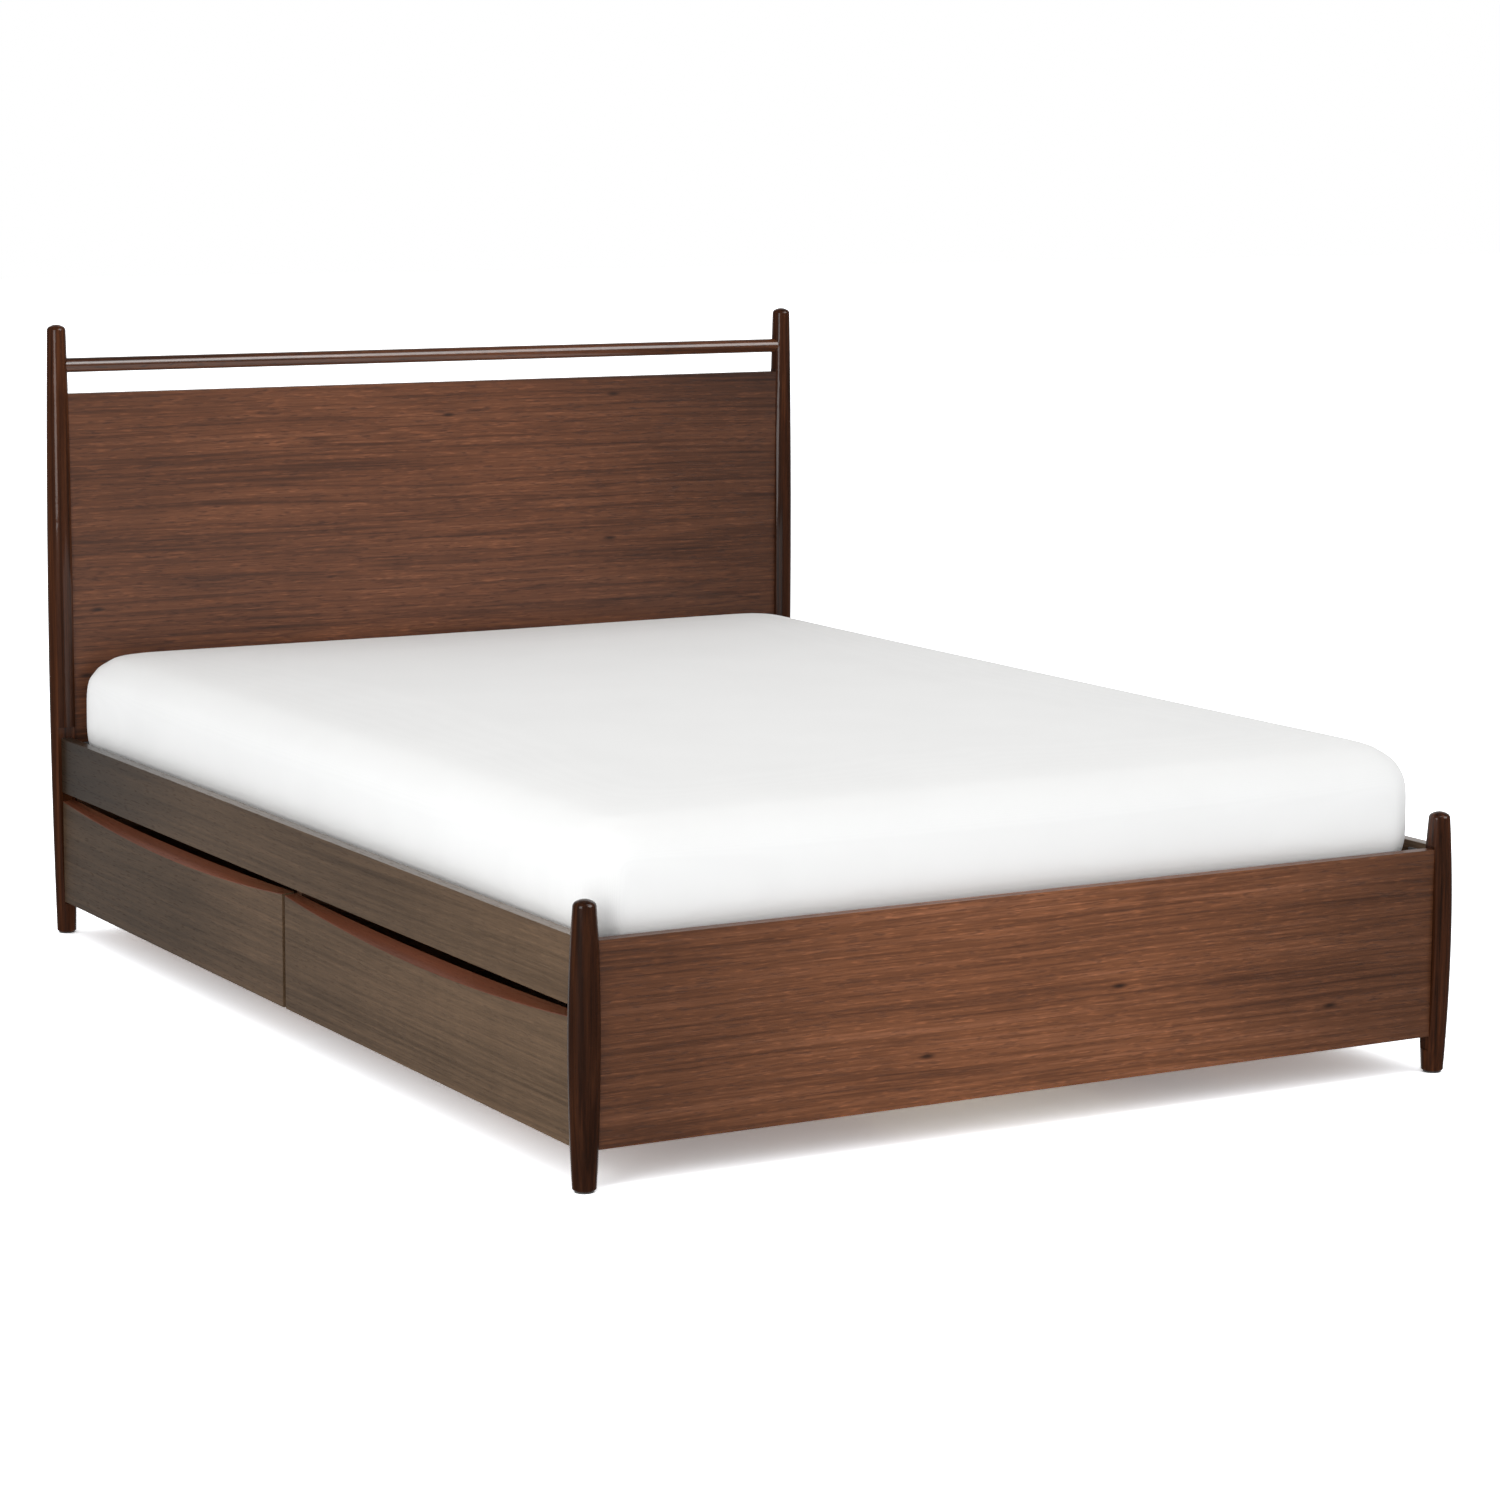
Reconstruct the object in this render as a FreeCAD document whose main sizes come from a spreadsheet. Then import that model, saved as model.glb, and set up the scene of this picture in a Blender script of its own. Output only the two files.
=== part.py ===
import FreeCAD, Part
import math
import os
import Sketcher
from FreeCAD import Placement, Rotation, Vector

# Storage bed in dark walnut: turned legs, veneered headboard and footboard, side rails,
# slatted platform, four drawers on telescopic runners and a dressed mattress.
# Frame: X across the bed, Y from footboard (-Y) to headboard (+Y), Z up from the floor.
# The origin is on the floor under the middle of the bed. All sizes are in millimetres.

DRIVING = [
    # overall
    ("leg_span_across", 1600, "leg centre to leg centre, side to side"),
    ("leg_span_along", 2160, "leg centre to leg centre, foot to head"),
    ("head_leg_height", 1177, "top of a headboard leg above the floor"),
    ("foot_leg_height", 441, "top of a footboard leg above the floor"),
    # turned legs
    ("leg_belly_radius", 25.5, "widest radius of a leg"),
    ("leg_foot_radius", 18.5, "radius at the floor end"),
    ("leg_top_radius", 18, "radius under the domed top"),
    ("head_belly_level", 540, "level of the widest place on a headboard leg"),
    ("foot_belly_level", 230, "level of the widest place on a footboard leg"),
    ("leg_cap_radius", 26, "spherical radius of the domed cap"),
    ("leg_cap_round", 9, "rounding of the cap's rim"),
    ("leg_foot_chamfer", 2, "chamfer at the floor end"),
    ("leg_flat_offset", 17.5, "leg axis to each milled flat"),
    ("flat_overrun", 5, "flat above the top of the panel it seats"),
    ("side_flat_overrun", 21, "flat above the top of the side rail"),
    ("panel_flat_start", 39, "level where the panel flat starts"),
    ("side_flat_start", 58, "level where the side flat starts"),
    ("cut_overrun", 5, "how far a cut runs past the wood"),
    ("glide_height", 3, "felt glide under each leg"),
    ("glide_radius", 15, "radius of a felt glide"),
    # headboard rod
    ("rod_radius", 14, "radius of the headboard rod"),
    ("rod_drop", 78, "rod's axis below the tops of the legs"),
    ("rod_seat", 8, "leg axis to the bottom of the rod's socket"),
    ("rod_fit", 0.1, "radial fit of the rod in its sockets"),
    # panels
    ("panel_thickness", 22, "headboard and footboard thickness"),
    ("rod_gap", 40, "headboard panel below the rod"),
    ("footboard_drop", 62, "footboard panel below the tops of its legs"),
    ("panel_bottom", 63, "bottom edge of both panels"),
    ("edge_ease", 0.8, "eased edges of the walnut boards"),
    # side rails and platform
    ("rail_thickness", 22, "side rail thickness"),
    ("rail_drop", 57.5, "top edge of a side rail below the tops of the foot legs"),
    ("rail_height", 105.5, "side rail height"),
    ("rail_proud", 11, "outer face of the rail outside the leg centres"),
    ("ledger_width", 25, "slat ledger, across"),
    ("ledger_height", 18, "slat ledger, upright"),
    ("slat_width", 75, "slat width"),
    ("slat_thickness", 16, "slat thickness"),
    ("slat_count", 14, "number of slats"),
    ("slat_end_gap", 2, "slat end to side rail"),
    ("slat_margin", 80, "first slat's centre to the leg centres"),
    ("beam_width", 40, "centre beam width"),
    ("beam_height", 60, "centre beam height"),
    ("notch_fit", 0.2, "fit of the beam in each notch, per side"),
    ("post_radius", 20, "centre post radius"),
    ("bulkhead_thickness", 18, "drawer bulkhead thickness"),
    ("bulkhead_bottom", 84, "bottom edge of a bulkhead"),
    ("bulkhead_end_gap", 2, "bulkhead end to the leg's flat"),
    # corner brackets, bolts and dowels
    ("bracket_leaf", 50, "bracket leaf length"),
    ("bracket_thickness", 3, "bracket plate thickness"),
    ("bracket_height", 56, "bracket height"),
    ("bracket_lift", 38, "bracket above the bottom of the rail"),
    ("bracket_clearance", 1, "bracket's mitred bend clear of the leg's corner"),
    ("bolt_radius", 3, "bolt shank radius"),
    ("bolt_head_radius", 6, "bolt head radius"),
    ("bolt_head_height", 3, "bolt head height"),
    ("bolt_reach", 14, "shank length inside the wood"),
    ("bolt_setback", 32, "bolt axis to the bracket's corner"),
    ("bolt_pitch", 28, "two bolts of one leaf, apart"),
    ("bolt_fit", 0.1, "radial fit of bolts and dowels in their holes"),
    ("dowel_radius", 5, "dowel radius"),
    ("dowel_in_leg", 18, "dowel length inside the leg"),
    ("dowel_in_panel", 28, "dowel length inside the panel"),
    ("dowel_margin", 70, "first and last dowel from the panel's edges"),
    # drawers
    ("drawer_front_thickness", 22, "drawer front thickness"),
    ("drawer_front_bottom", 64, "bottom edge of a drawer front"),
    ("front_rail_gap", 15, "top back edge of a front below the side rail, at its ends"),
    ("front_leg_gap", 3, "drawer front to the leg's flat"),
    ("front_split_gap", 12, "gap between the two fronts of a side"),
    ("scoop_end_drop", 2, "outer arris below the back edge, at the ends"),
    ("scoop_outer_dip", 23, "dip of the outer arris at mid-length"),
    ("scoop_inner_dip", 9, "dip of the back edge at mid-length"),
    ("box_depth", 600, "drawer box behind the front"),
    ("box_bottom", 84, "bottom edge of the drawer sides"),
    ("box_beam_gap", 12, "top edge of the drawer sides below the centre beam"),
    ("box_wall", 12, "drawer side and back thickness"),
    ("tray_thickness", 6, "drawer bottom thickness"),
    ("tray_lift", 8, "groove above the bottom edge of the sides"),
    ("groove_depth", 6, "groove depth in the drawer sides"),
    ("groove_fit", 0.1, "fit of the bottom in its grooves, per side"),
    # telescopic runners
    ("runner_length", 550, "closed length of a runner"),
    ("runner_height", 45, "runner height"),
    ("runner_space", 13, "bulkhead to drawer side"),
    ("runner_wall", 1.5, "runner sheet thickness"),
    ("runner_play", 0.4, "play between runner members"),
    ("runner_flange", 9, "outer member's flange, over its web"),
    ("runner_setback", 3, "runner behind the drawer front"),
    ("runner_lift", 66, "runner's axis above the bottom edge of the drawer sides"),
    # mattress
    ("mattress_side_gap", 9, "mattress in its fitted sheet to each side rail"),
    ("mattress_end_gap", 9, "mattress in its fitted sheet to each panel"),
    ("mattress_thickness", 248, "mattress thickness"),
    ("mattress_corner", 60, "corner radius in plan"),
    ("mattress_round", 45, "rounding of the upper and lower edges"),
    ("mattress_lift", 0.3, "mattress above the slats"),
]

PANEL_DOWELS = {"headboard": 5, "footboard": 3}
BOLTS_PER_LEAF = 2

doc = FreeCAD.newDocument("StorageBed")
sheet = doc.addObject("Spreadsheet::Sheet", "Sizes")
for row, (alias, value, meaning) in enumerate(DRIVING, 1):
    sheet.set(f"A{row}", meaning)
    sheet.set(f"B{row}", str(value))
    sheet.setAlias(f"B{row}", alias)
doc.recompute()


# ---------------------------------------------------------------- expressions
def S(formula):
    """A formula over the sheet: every word in it is one of the sheet's names."""
    words = {alias for alias, _, _ in DRIVING}
    out, word = "", ""
    for letter in formula + " ":
        if letter.isalnum() or letter in "_.":
            word += letter
            continue
        out += f"Sizes.{word}" if word in words else word
        out, word = out + letter, ""
    return f"({out.strip()})"


def number(formula):
    return float(sheet.evalExpression(formula))


HALF_ACROSS = S("leg_span_across / 2")
HALF_ALONG = S("leg_span_along / 2")
RAIL_OUTER = S("leg_span_across / 2 + rail_proud")
RAIL_INNER = S("leg_span_across / 2 + rail_proud - rail_thickness")
PANEL_INNER = S("leg_span_along / 2 - panel_thickness / 2")
RAIL_HALF_LENGTH = S("leg_span_along / 2 - leg_flat_offset")
PANEL_HALF_WIDTH = S("leg_span_across / 2 - leg_flat_offset")
RAIL_TOP = S("foot_leg_height - rail_drop")
RAIL_BOTTOM = f"({RAIL_TOP} - {S('rail_height')})"
ROD_LEVEL = S("head_leg_height - rod_drop")
PANEL_TOP = {"headboard": f"({ROD_LEVEL} - {S('rod_radius + rod_gap')})",
             "footboard": S("foot_leg_height - footboard_drop")}
SLAT_BOTTOM = f"({RAIL_BOTTOM} + {S('ledger_height')})"
SLAT_TOP = f"({SLAT_BOTTOM} + {S('slat_thickness')})"
BEAM_BOTTOM = f"({SLAT_BOTTOM} - {S('beam_height')})"
# A bay runs from the middle bulkhead, half of which is on its side, to the end bulkhead.
BAY_WIDTH = f"({PANEL_INNER} - {S('bulkhead_thickness / 2')} - {S('bulkhead_thickness')})"
BAY_CENTRE = f"({S('bulkhead_thickness / 2')} + {BAY_WIDTH} / 2)"
BOX_WIDTH = f"({BAY_WIDTH} - 2 * {S('runner_space')})"
BOX_TOP = f"({BEAM_BOTTOM} - {S('box_beam_gap')})"
FRONT_START = S("front_split_gap / 2")
FRONT_WIDTH = f"({RAIL_HALF_LENGTH} - {S('front_leg_gap')} - {FRONT_START})"
FRONT_TOP = f"({RAIL_BOTTOM} - {S('front_rail_gap')})"
FRONT_OFFSET = f"({FRONT_START} + {FRONT_WIDTH} / 2 - {BAY_CENTRE})"
BRACKET_BOTTOM = f"({RAIL_BOTTOM} + {S('bracket_lift')})"
FIRST_BOLT_LEVEL = f"({BRACKET_BOTTOM} + {S('(bracket_height - bolt_pitch) / 2')})"
BOLT_HOLE = S("bolt_radius + bolt_fit")
DOWEL_HOLE = S("dowel_radius + bolt_fit")
ZERO = "0"


# ------------------------------------------------------------ drawing helpers
def new_body(label):
    body = doc.addObject("PartDesign::Body", label)
    body.Label = label
    return body


def place(piece, x=ZERO, y=ZERO, z=ZERO, turn=0):
    """Puts a piece at a place given by formulas, turned about the upright axis."""
    piece.Placement = Placement(Vector(), Rotation(Vector(0, 0, 1), turn))
    for axis, formula in (("x", x), ("y", y), ("z", z)):
        piece.setExpression(f"Placement.Base.{axis}", formula)
    return piece


def new_sketch(body, name, role, offset=None):
    """A sketch on one of the body's own origin planes, or parallel to it at an offset."""
    sketch = body.newObject("Sketcher::SketchObject", name)
    plane = next(f for f in body.Origin.OriginFeatures if f.Role == role)
    sketch.AttachmentSupport = [(plane, "")]
    sketch.MapMode = "FlatFace"
    if offset is not None:
        sketch.setExpression("AttachmentOffset.Base.z", offset)
    return sketch


def fix_point(sketch, geometry, vertex, x, y, name):
    """Holds one point of a sketch at the formulas x and y, from the sketch's origin."""
    for kind, formula, tail in (("DistanceX", x, "x"), ("DistanceY", y, "y")):
        seed = Sketcher.Constraint(kind, -1, 1, geometry, vertex, number(formula))
        index = sketch.addConstraint(seed)
        sketch.renameConstraint(index, name + tail)
        sketch.setExpression(f"Constraints.{name}{tail}", formula)


def centre_on_level(start, end, level):
    """The centre, on a level, of the circle through two points."""
    chord_x, chord_y = end.x - start.x, end.y - start.y
    along = (end.x**2 - start.x**2 + end.y**2 - start.y**2 - 2 * level * chord_y) / (2 * chord_x)
    return Vector(along, level, 0)


def centre_on_axis(start, end, across):
    """The centre, at one distance across, of the circle through two points."""
    chord_x, chord_y = end.x - start.x, end.y - start.y
    level = (end.x**2 - start.x**2 + end.y**2 - start.y**2 - 2 * across * chord_x) / (2 * chord_y)
    return Vector(across, level, 0)


def arc_about(centre, start, end):
    """The shorter arc about a centre, and whether it runs backwards."""
    first = math.atan2(start.y - centre.y, start.x - centre.x)
    last = math.atan2(end.y - centre.y, end.x - centre.x)
    backwards = (last - first) % (2 * math.pi) > math.pi
    if backwards:
        first, last = last, first
    circle = Part.Circle(centre, Vector(0, 0, 1), (start - centre).Length)
    return Part.ArcOfCircle(circle, first, last), backwards


def outline(sketch, points, arcs=None):
    """A closed outline through points given as formulas. arcs maps an edge's number to
    ("level", formula) or ("axis", formula), which holds one coordinate of its centre, or
    to ("through", x, y), a point that the arc passes."""
    arcs = arcs or {}
    corners = [Vector(number(x), number(y), 0) for x, y in points]
    ends = []
    for i, start in enumerate(corners):
        end = corners[(i + 1) % len(corners)]
        if i not in arcs:
            sketch.addGeometry(Part.LineSegment(start, end))
            ends.append((1, 2))
            continue
        kind, *held = arcs[i]
        if kind == "level":
            arc, backwards = arc_about(centre_on_level(start, end, number(held[0])), start, end)
        elif kind == "axis":
            arc, backwards = arc_about(centre_on_axis(start, end, number(held[0])), start, end)
        else:
            middle = Vector(number(held[0]), number(held[1]), 0)
            centre = Part.Circle(start, middle, end).Center
            arc, backwards = arc_about(centre, start, end)
        sketch.addGeometry(arc)
        ends.append((2, 1) if backwards else (1, 2))
    count = len(corners)
    for i in range(count):
        after = (i + 1) % count
        sketch.addConstraint(Sketcher.Constraint("Coincident", i, ends[i][1], after, ends[after][0]))
    for i, (x, y) in enumerate(points):
        fix_point(sketch, i, ends[i][0], x, y, f"p{i}")
    for i, (kind, *held) in arcs.items():
        if kind == "through":
            point = sketch.addGeometry(Part.Point(Vector(number(held[0]), number(held[1]), 0)), True)
            fix_point(sketch, point, 1, held[0], held[1], f"t{i}")
            sketch.addConstraint(Sketcher.Constraint("PointOnObject", point, 1, i))
            continue
        side = "DistanceY" if kind == "level" else "DistanceX"
        index = sketch.addConstraint(Sketcher.Constraint(side, -1, 1, i, 3, number(held[0])))
        sketch.renameConstraint(index, f"c{i}")
        sketch.setExpression(f"Constraints.c{i}", held[0])
    return sketch


def rectangle(sketch, x0, y0, x1, y1):
    return outline(sketch, [(x0, y0), (x1, y0), (x1, y1), (x0, y1)])


def holes(sketch, radius, centres):
    for i, (x, y) in enumerate(centres):
        seed = Vector(number(x), number(y), 0)
        sketch.addGeometry(Part.Circle(seed, Vector(0, 0, 1), number(radius)))
        fix_point(sketch, i, 3, x, y, f"h{i}")
        index = sketch.addConstraint(Sketcher.Constraint("Radius", i, number(radius)))
        sketch.renameConstraint(index, f"r{i}")
        sketch.setExpression(f"Constraints.r{i}", radius)
    return sketch


def pad(body, sketch, length, name="Pad", midplane=False):
    feature = body.newObject("PartDesign::Pad", name)
    feature.Profile = sketch
    feature.setExpression("Length", length)
    feature.Midplane = midplane
    return feature


def cut(body, sketch, length, name, against=True, midplane=False):
    """A pocket. It runs against the sketch plane's normal, or with it; the volume must fall."""
    doc.recompute()
    before = body.Shape.Volume
    feature = body.newObject("PartDesign::Pocket", name)
    feature.Profile = sketch
    feature.setExpression("Length", length)
    feature.Midplane = midplane
    feature.Reversed = not against
    doc.recompute()
    if body.Shape.Volume >= before - 1e-6:
        raise RuntimeError(f"{body.Label}: {name} removes nothing")
    return feature


def edges_where(shape, test):
    return [f"Edge{i}" for i, edge in enumerate(shape.Edges, 1) if test(edge.BoundBox)]


def dress(body, kind, name, size, test, link="Size"):
    """A fillet (link Radius) or chamfer (link Size) on the edges whose boxes pass the test."""
    doc.recompute()
    base = body.Tip
    feature = body.newObject(kind, name)
    feature.Base = (base, edges_where(base.Shape, test))
    feature.setExpression(link, size)
    doc.recompute()
    return feature


def ease(body, test=lambda box: True):
    return dress(body, "PartDesign::Chamfer", "EasedEdges", S("edge_ease"), test)


def board(label, width, length, height):
    """A board with one corner at its own origin: X by Y by Z."""
    body = new_body(label)
    sketch = rectangle(new_sketch(body, label + "_plan", "XY_Plane"), ZERO, ZERO, width, length)
    pad(body, sketch, height)
    return body


def cylinder(name, radius, length, x, y, z, direction=Vector(0, 0, 1)):
    piece = doc.addObject("Part::Cylinder", name)
    piece.setExpression("Radius", radius)
    piece.setExpression("Height", length)
    piece.Placement = Placement(Vector(), Rotation(Vector(0, 0, 1), direction))
    for axis, formula in (("x", x), ("y", y), ("z", z)):
        piece.setExpression(f"Placement.Base.{axis}", formula)
    return piece


def group(label, pieces):
    """Like pieces that share one node, each still its own solid."""
    compound = doc.addObject("Part::Compound", label)
    compound.Label = label
    compound.Links = pieces
    return compound


def minus(formula):
    return f"(0 - {formula})"


def signed(sign, formula):
    return formula if sign > 0 else minus(formula)


# ------------------------------------------------------------------ the pieces
def dowel_levels(board_name):
    """Levels of the dowels that join one panel to its legs."""
    count = PANEL_DOWELS[board_name]
    low = S("panel_bottom + dowel_margin")
    span = f"({PANEL_TOP[board_name]} - {S('panel_bottom + 2 * dowel_margin')})"
    return [f"({low} + {span} * {i} / {count - 1})" for i in range(count)]


def leg(label, board_name, x_sign, y_sign):
    """A turned leg. Its own +X is the panel side; turned round for the right-hand legs."""
    end = "head" if board_name == "headboard" else "foot"
    body = new_body(label)
    height, belly = S(f"{end}_leg_height"), S(f"{end}_belly_level")
    foot, wide, top = S("leg_foot_radius"), S("leg_belly_radius"), S("leg_top_radius")
    floor, chamfer = S("glide_height"), S("leg_foot_chamfer")
    # The cap is a sphere about the axis; the rim's arc is tangent to it and to the leg's side.
    cap_rise = S("sqrt((leg_cap_radius - leg_cap_round)^2 - (leg_top_radius - leg_cap_round)^2)")
    cap_centre = f"({height} - {S('leg_cap_radius')})"
    share = S("leg_cap_radius / (leg_cap_radius - leg_cap_round)")
    rim = f"({cap_centre} + {cap_rise})"
    blend = (f"({S('leg_top_radius - leg_cap_round')} * {share})", f"({cap_centre} + {cap_rise} * {share})")
    profile = new_sketch(body, label + "_profile", "XZ_Plane")
    points = [(ZERO, floor), (f"({foot} - {chamfer})", floor), (foot, f"({floor} + {chamfer})"),
              (wide, belly), (top, rim), blend, (ZERO, height)]
    outline(profile, points, {2: ("level", belly), 3: ("level", belly),
                              4: ("level", rim), 5: ("axis", ZERO)})
    turned = body.newObject("PartDesign::Revolution", "Turned")
    turned.Profile = profile
    turned.ReferenceAxis = (profile, ["V_Axis"])
    turned.Angle = 360

    flat = S("leg_flat_offset")
    outside = S("leg_belly_radius + cut_overrun")
    across_leg = S("2 * (leg_belly_radius + cut_overrun)")
    panel_top = f"({PANEL_TOP[board_name]} + {S('flat_overrun')})"
    panel_flat = new_sketch(body, label + "_panel_flat", "XZ_Plane")
    rectangle(panel_flat, flat, S("panel_flat_start"), outside, panel_top)
    cut(body, panel_flat, across_leg, "PanelFlat", midplane=True)

    # The rail side is towards the middle of the bed's length: local +Y or -Y.
    inward = -y_sign if x_sign < 0 else y_sign
    side_flat = new_sketch(body, label + "_side_flat", "YZ_Plane")
    rectangle(side_flat, signed(inward, flat), S("side_flat_start"),
              signed(inward, outside), f"({RAIL_TOP} + {S('side_flat_overrun')})")
    cut(body, side_flat, across_leg, "SideFlat", midplane=True)

    drill_plane = S("leg_flat_offset - dowel_in_leg")
    drill = new_sketch(body, label + "_dowel_holes", "YZ_Plane", drill_plane)
    holes(drill, DOWEL_HOLE, [(ZERO, level) for level in dowel_levels(board_name)])
    cut(body, drill, S("dowel_in_leg + leg_belly_radius"), "DowelHoles", against=False)
    if board_name == "headboard":
        socket = new_sketch(body, label + "_rod_socket", "YZ_Plane", S("rod_seat"))
        holes(socket, S("rod_radius + rod_fit"), [(ZERO, ROD_LEVEL)])
        cut(body, socket, S("leg_belly_radius"), "RodSocket", against=False)
    return place(body, signed(x_sign, HALF_ACROSS), signed(y_sign, HALF_ALONG), ZERO,
                 0 if x_sign < 0 else 180)


def panel(label, board_name, y_sign):
    """Headboard or footboard panel. Its own +Y is the face towards the mattress."""
    body = new_body(label)
    low, high = S("panel_bottom"), PANEL_TOP[board_name]
    face = rectangle(new_sketch(body, label + "_face", "XZ_Plane"),
                     minus(PANEL_HALF_WIDTH), low, PANEL_HALF_WIDTH, high)
    pad(body, face, S("panel_thickness"), midplane=True)
    ease(body, lambda box: box.ZLength < 1 and box.YLength < 1)
    for side in (-1, 1):
        tag = "Left" if side < 0 else "Right"
        plane = signed(side, f"({PANEL_HALF_WIDTH} - {S('dowel_in_panel')})")
        drill = new_sketch(body, f"{label}_dowels_{tag}", "YZ_Plane", plane)
        holes(drill, DOWEL_HOLE, [(ZERO, level) for level in dowel_levels(board_name)])
        cut(body, drill, S("dowel_in_panel + cut_overrun"), "Dowels" + tag, against=side < 0)
    drill = new_sketch(body, label + "_bolts", "XZ_Plane",
                       minus(S("panel_thickness / 2 - bolt_reach - bolt_fit")))
    reach = f"({RAIL_INNER} - {S('bolt_setback')})"
    centres = [(signed(side, reach), level) for side in (-1, 1) for level in bolt_levels()]
    holes(drill, BOLT_HOLE, centres)
    cut(body, drill, S("panel_thickness"), "BoltHoles", against=True)
    return place(body, ZERO, signed(y_sign, HALF_ALONG), ZERO, 0 if y_sign < 0 else 180)


def bolt_levels():
    return [f"({FIRST_BOLT_LEVEL} + {S('bolt_pitch')} * {i})" for i in range(BOLTS_PER_LEAF)]


def side_rail(label, x_sign):
    """A side rail. Its own X runs from the outer face (0) to the inner face."""
    body = new_body(label)
    face = rectangle(new_sketch(body, label + "_face", "YZ_Plane"), minus(RAIL_HALF_LENGTH),
                     RAIL_BOTTOM, RAIL_HALF_LENGTH, RAIL_TOP)
    pad(body, face, S("rail_thickness"))
    ease(body, lambda box: box.ZLength < 1 and box.XLength < 1)
    drill = new_sketch(body, label + "_bolts", "YZ_Plane",
                       S("rail_thickness - bolt_reach - bolt_fit"))
    reach = f"({PANEL_INNER} - {S('bolt_setback')})"
    centres = [(signed(side, reach), level) for side in (-1, 1) for level in bolt_levels()]
    holes(drill, BOLT_HOLE, centres)
    cut(body, drill, S("rail_thickness"), "BoltHoles", against=False)
    return place(body, signed(x_sign, RAIL_OUTER), ZERO, ZERO, 0 if x_sign < 0 else 180)


def slat_ledger(label, x_sign):
    """The strip inside a side rail that carries the slat ends."""
    length = f"({PANEL_INNER} * 2 - {S('bulkhead_thickness')})"
    body = board(label, S("ledger_width"), length, S("ledger_height"))
    turn = 0 if x_sign < 0 else 180
    start = f"({length} / 2)"
    return place(body, signed(x_sign, RAIL_INNER), signed(x_sign, start), RAIL_BOTTOM, turn)


def slats():
    """The slats, evenly spaced and resting on the ledgers and the centre beam."""
    body = new_body("slats")
    half = f"({RAIL_INNER} - {S('slat_end_gap')})"
    span = S("leg_span_along - 2 * slat_margin")
    first = minus(f"({span} / 2)")
    plan = rectangle(new_sketch(body, "slat_plan", "XY_Plane"), minus(half),
                     f"({first} - {S('slat_width / 2')})", half,
                     f"({first} + {S('slat_width / 2')})")
    slat = pad(body, plan, S("slat_thickness"))
    pattern = body.newObject("PartDesign::LinearPattern", "SlatRow")
    pattern.Originals = [slat]
    pattern.Direction = (plan, ["V_Axis"])
    pattern.setExpression("Length", span)
    pattern.setExpression("Occurrences", S("slat_count"))
    body.Tip = pattern
    return place(body, ZERO, ZERO, SLAT_BOTTOM)


def centre_beam():
    body = board("centre_beam", S("beam_width"), f"({PANEL_INNER} * 2)", S("beam_height"))
    return place(body, S("0 - beam_width / 2"), minus(PANEL_INNER), BEAM_BOTTOM)


def bulkhead(label, y):
    """A cross panel that carries the runners of the drawers beside it, notched for the beam."""
    body = new_body(label)
    half = f"({PANEL_HALF_WIDTH} - {S('bulkhead_end_gap')})"
    notch = S("beam_width / 2 + notch_fit")
    low, high = S("bulkhead_bottom"), RAIL_BOTTOM
    points = [(minus(half), low), (half, low), (half, high), (notch, high), (notch, BEAM_BOTTOM),
              (minus(notch), BEAM_BOTTOM), (minus(notch), high), (minus(half), high)]
    face = outline(new_sketch(body, label + "_face", "XZ_Plane"), points)
    pad(body, face, S("bulkhead_thickness"), midplane=True)
    return place(body, ZERO, y)


def centre_post(label, y_sign):
    """A round post under the centre beam, in the middle of one drawer bay."""
    length = f"({BEAM_BOTTOM} - {S('glide_height')})"
    piece = cylinder(label, S("post_radius"), length, ZERO, signed(y_sign, BAY_CENTRE),
                     S("glide_height"))
    piece.Label = label
    return piece


def glides():
    """Felt discs under the four legs and the two centre posts."""
    spots = [(signed(sx, HALF_ACROSS), signed(sy, HALF_ALONG)) for sx in (-1, 1) for sy in (-1, 1)]
    spots += [(ZERO, signed(sy, BAY_CENTRE)) for sy in (-1, 1)]
    discs = [cylinder(f"glide_{i}", S("glide_radius"), S("glide_height"), x, y, ZERO)
             for i, (x, y) in enumerate(spots, 1)]
    return group("felt_glides", discs)


def headboard_rod():
    length = S("leg_span_across - 2 * rod_seat")
    piece = cylinder("headboard_rod", S("rod_radius"), length, S("rod_seat - leg_span_across / 2"),
                     HALF_ALONG, ROD_LEVEL, Vector(1, 0, 0))
    piece.Label = "headboard_rod"
    return piece


def dowels(board_name, y_sign):
    """The dowels that pin one panel between its two legs."""
    pins = []
    length = S("dowel_in_leg + dowel_in_panel")
    left = f"({minus(PANEL_HALF_WIDTH)} - {S('dowel_in_leg')})"
    right = f"({PANEL_HALF_WIDTH} - {S('dowel_in_panel')})"
    for i, level in enumerate(dowel_levels(board_name)):
        for side, x in (("left", left), ("right", right)):
            pins.append(cylinder(f"{board_name}_dowel_{side}_{i}", S("dowel_radius"), length, x,
                                 signed(y_sign, HALF_ALONG), level, Vector(1, 0, 0)))
    return group(f"{board_name}_dowels", pins)


CORNERS = [(-1, -1, 0), (1, -1, 90), (1, 1, 180), (-1, 1, 270)]


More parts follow.
